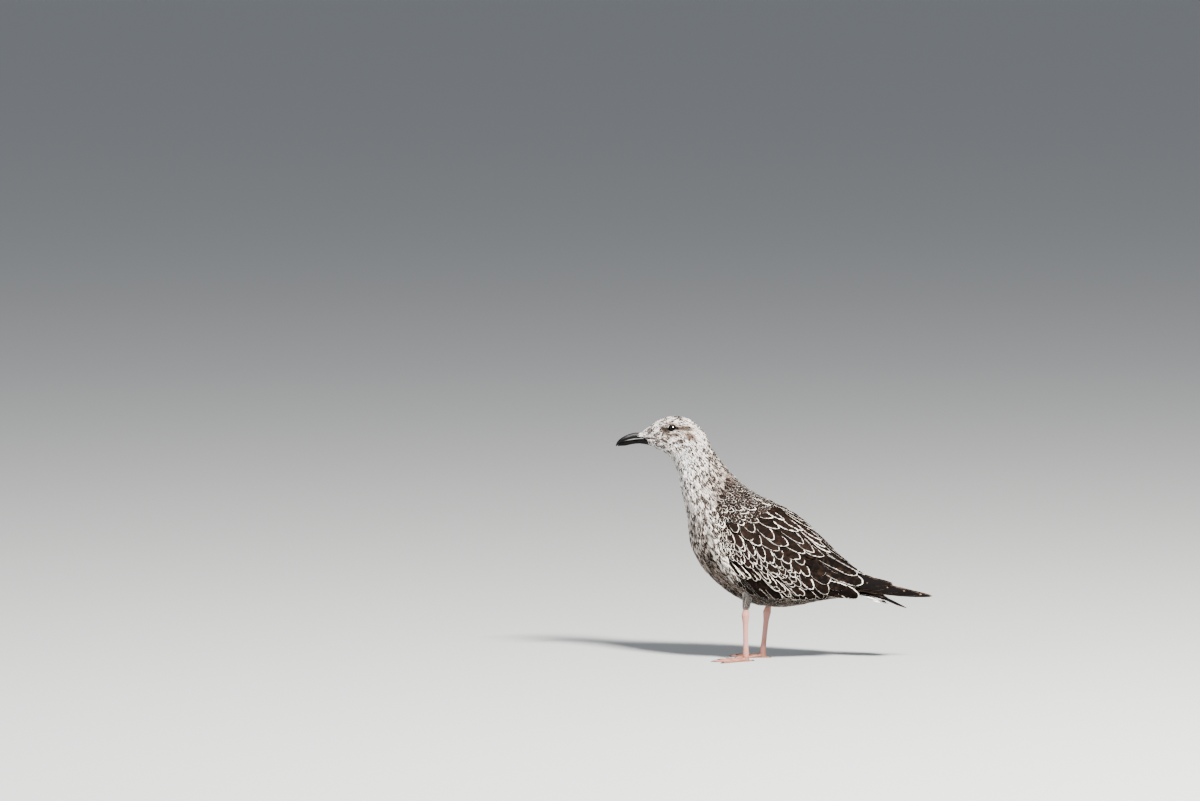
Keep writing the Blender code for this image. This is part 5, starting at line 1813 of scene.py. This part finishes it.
# %% [markdown]
# A gull's lids leave an opening shaped like an almond. It is given as turn and distance
# from the eye's middle, and a few steps outward from its edge give the lid's cross section.

# %% Lids
LID_TURNS, LID_THICK, LID_TILT = 72, 0.34 * MM, 12
# degrees and millimetres: forward corner, above, rear corner, below and forward again
LID_OPENING = ((0, 5.3), (30, 4.2), (60, 3.3), (90, 3.0), (120, 3.35), (150, 4.2), (180, 5.0),
               (210, 4.2), (240, 3.5), (270, 3.25), (300, 3.5), (330, 4.3), (360, 5.3))
# millimetres out from the opening, and height over the ball as a share of LID_THICK
LID_EDGE = ((0.0, 0.05), (0.05, 0.6), (0.28, 0.85), (0.6, 0.8), (1.0, 0.55), (1.6, 0.35), (2.2, 0.3),
            (2.6, 0.0), (2.9, -1.5))
LID_BLACK, LID_ABOVE, LID_CORNER = (0.0015, 0.0012, 0.0011), (0.022, 0.0155, 0.012), (0.004, 0.003, 0.0025)
LID_BELOW = (0.50, 0.44, 0.38)


def lid_colour(turn):
    """Black at the edge; farther out dark above, darker at the corners and pale below."""
    out_mm = np.array(LID_EDGE)[:, :1]
    below = np.clip(-1.6 * np.sin(turn + 0.35) - 0.35, 0, 1)[None]
    downy = np.clip((out_mm - 0.35) / 0.5, 0, 1)[..., None]
    corner = np.clip(1.5 * np.abs(np.cos(turn)) - 0.4, 0, 1)[None, :, None]
    outer = mix_tones(mix_tones(LID_ABOVE, LID_CORNER, corner), LID_BELOW, below[..., None])
    return opaque(mix_tones(LID_BLACK, outer, downy))


def make_lids(name, centre, radius, axis):
    """A lid ring: it rises from the ball at the opening, rounds over and sinks under the feathers."""
    up = unit(np.array((0.0, 0.0, 1.0)) - axis * axis[2])
    forward = np.cross(up, axis) if np.cross(up, axis)[0] < 0 else np.cross(axis, up)
    degrees = np.arange(LID_TURNS) * 360 / LID_TURNS
    turn = np.radians(degrees - LID_TILT)
    out = np.cos(turn)[:, None] * forward + np.sin(turn)[:, None] * up
    rows = []
    for out_mm, height in LID_EDGE:
        away = (read_curve(degrees, LID_OPENING) + out_mm) * MM
        tilt = np.arcsin(np.clip(away / radius, 0, 0.995))[:, None]
        way = np.cos(tilt) * axis + np.sin(tilt) * out
        rows.append(np.array(centre) + (radius + LID_THICK * height) * way)
    grid = np.array(rows)
    i, j = np.meshgrid(np.arange(len(rows) - 1), np.arange(LID_TURNS), indexing="ij")
    near, far = i * LID_TURNS, (i + 1) * LID_TURNS
    k = (j + 1) % LID_TURNS
    quads = np.stack([near + j, far + j, far + k, near + k], -1)
    if np.dot(np.cross(grid[2, 0] - grid[1, 0], grid[1, 1] - grid[1, 0]), axis) < 0:
        quads = quads[..., ::-1]
    lid = bpy.data.meshes.new(name + "_lid")
    lid.from_pydata(grid.reshape(-1, 3).tolist(), [], quads.reshape(-1, 4).tolist())
    set_values(lid, "band", "FLOAT_COLOR", lid_colour(turn))
    add_piece(name + "_lid", lid, LID_SKIN, [name])


def make_eye(name, centre, side):
    low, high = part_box(name)
    radius = (high.y - low.y) / 2
    flip = np.array((1, side, 1))
    axis = unit(EYE_AXIS * flip)
    mesh = bpy.data.meshes.new(name + "_ball")
    points, faces = closed_grid(ball_grid(centre, radius, axis))
    mesh.from_pydata(points, [], faces)
    # painted glint patch: the points that face the way of the key lamp's reflection
    facing = unit(np.array(points) - np.array(centre)) @ unit(GLINT_WAY * flip)
    set_values(mesh, "painted_glint_patch", "FLOAT", np.clip((facing - GLINT_START) / GLINT_FADE, 0, 1))
    add_piece(name + "_ball", mesh, EYE_BROWN, [name])
    make_lids(name, centre, radius, axis)


make_eye("eye_left", EYE_CENTRE[0], 1)
make_eye("eye_right", EYE_CENTRE[1], -1)
print("two eyes with lids")

# %% [markdown]
# ## Legs and feet
# Bare legs and webbed feet are flesh pink. Their solids are drawn over with a finer surface
# that rounds the corners, and the skin shows small scutes.

# %% Legs, feet and claws
LEG_PINK, LEG_WARM, FOOT_DARK, SCUTE_SEAM = (
    (0.36, 0.165, 0.148, 1), (0.34, 0.15, 0.10, 1), (0.21, 0.075, 0.042, 1), (0.16, 0.07, 0.055, 1))
SCUTE_SCALE, PATCH_SCALE = 420.0, 90
LEG_CELL, LEG_PASSES, LEG_SWELL = 0.6 * MM, 3, 0.6 * MM


def scute_group():
    tree, into, leave = new_group("leg_scutes", {"Size": SCUTE_SCALE}, ["Height"])
    entries = {"Vector": object_place(tree), "Scale": into["Size"]}
    edges = node(tree, "ShaderNodeTexVoronoi", entries, out="Distance", feature="DISTANCE_TO_EDGE")
    tree.links.new(ramp(tree, edges, 0.0, 0.12), leave["Height"])
    return tree


def leg_material(scute_pattern):
    """Pink with warmer patches, darker towards the ground and in the seams between scutes."""
    material, tree, shader = new_material("leg_skin", 0.5)
    place = object_place(tree)
    colour = blend(tree, ramp(tree, noise_at(tree, place, PATCH_SCALE), 0.35, 0.7), LEG_PINK, LEG_WARM)
    height = node(tree, "ShaderNodeSeparateXYZ", {0: place}, out="Z")
    colour = blend(tree, ramp(tree, height, 0.004, 0.022, 1.0, 0.0), colour, FOOT_DARK)
    scutes = use_group(tree, scute_pattern, Size=SCUTE_SCALE)["Height"]
    colour = blend(tree, ramp(tree, scutes, 0.0, 1.0, 0.35, 0.0), colour, SCUTE_SEAM)
    tree.links.new(colour, shader.inputs["Base Color"])
    shader.inputs["Subsurface Weight"].default_value = 0.15
    shader.inputs["Subsurface Radius"].default_value = (0.004, 0.0015, 0.001)
    add_relief(tree, shader, scutes, 0.4, 0.25 * MM)
    return material


LEG_SKIN = leg_material(scute_group())
CLAW_HORN = plain_material("claw_horn", (0.03, 0.024, 0.021), 0.35)[0]
for side in ("left", "right"):
    leg_solids = [f"leg_{side}", f"foot_{side}"]
    leg_mesh = drawn_over(
        f"leg_{side}_skin", [solid_mesh(name) for name in leg_solids], LEG_CELL, LEG_PASSES, LEG_SWELL)
    for vertex in leg_mesh.vertices:
        vertex.co.z = max(vertex.co.z, 0.0)
    add_piece(f"leg_{side}_skin", leg_mesh, LEG_SKIN, leg_solids)
    print("leg", side, len(leg_mesh.polygons), "faces")
for name, solid in nodes.items():
    if name.startswith("claw_"):
        solid.data.materials.clear()
        solid.data.materials.append(CLAW_HORN)
        solid.data.shade_smooth()
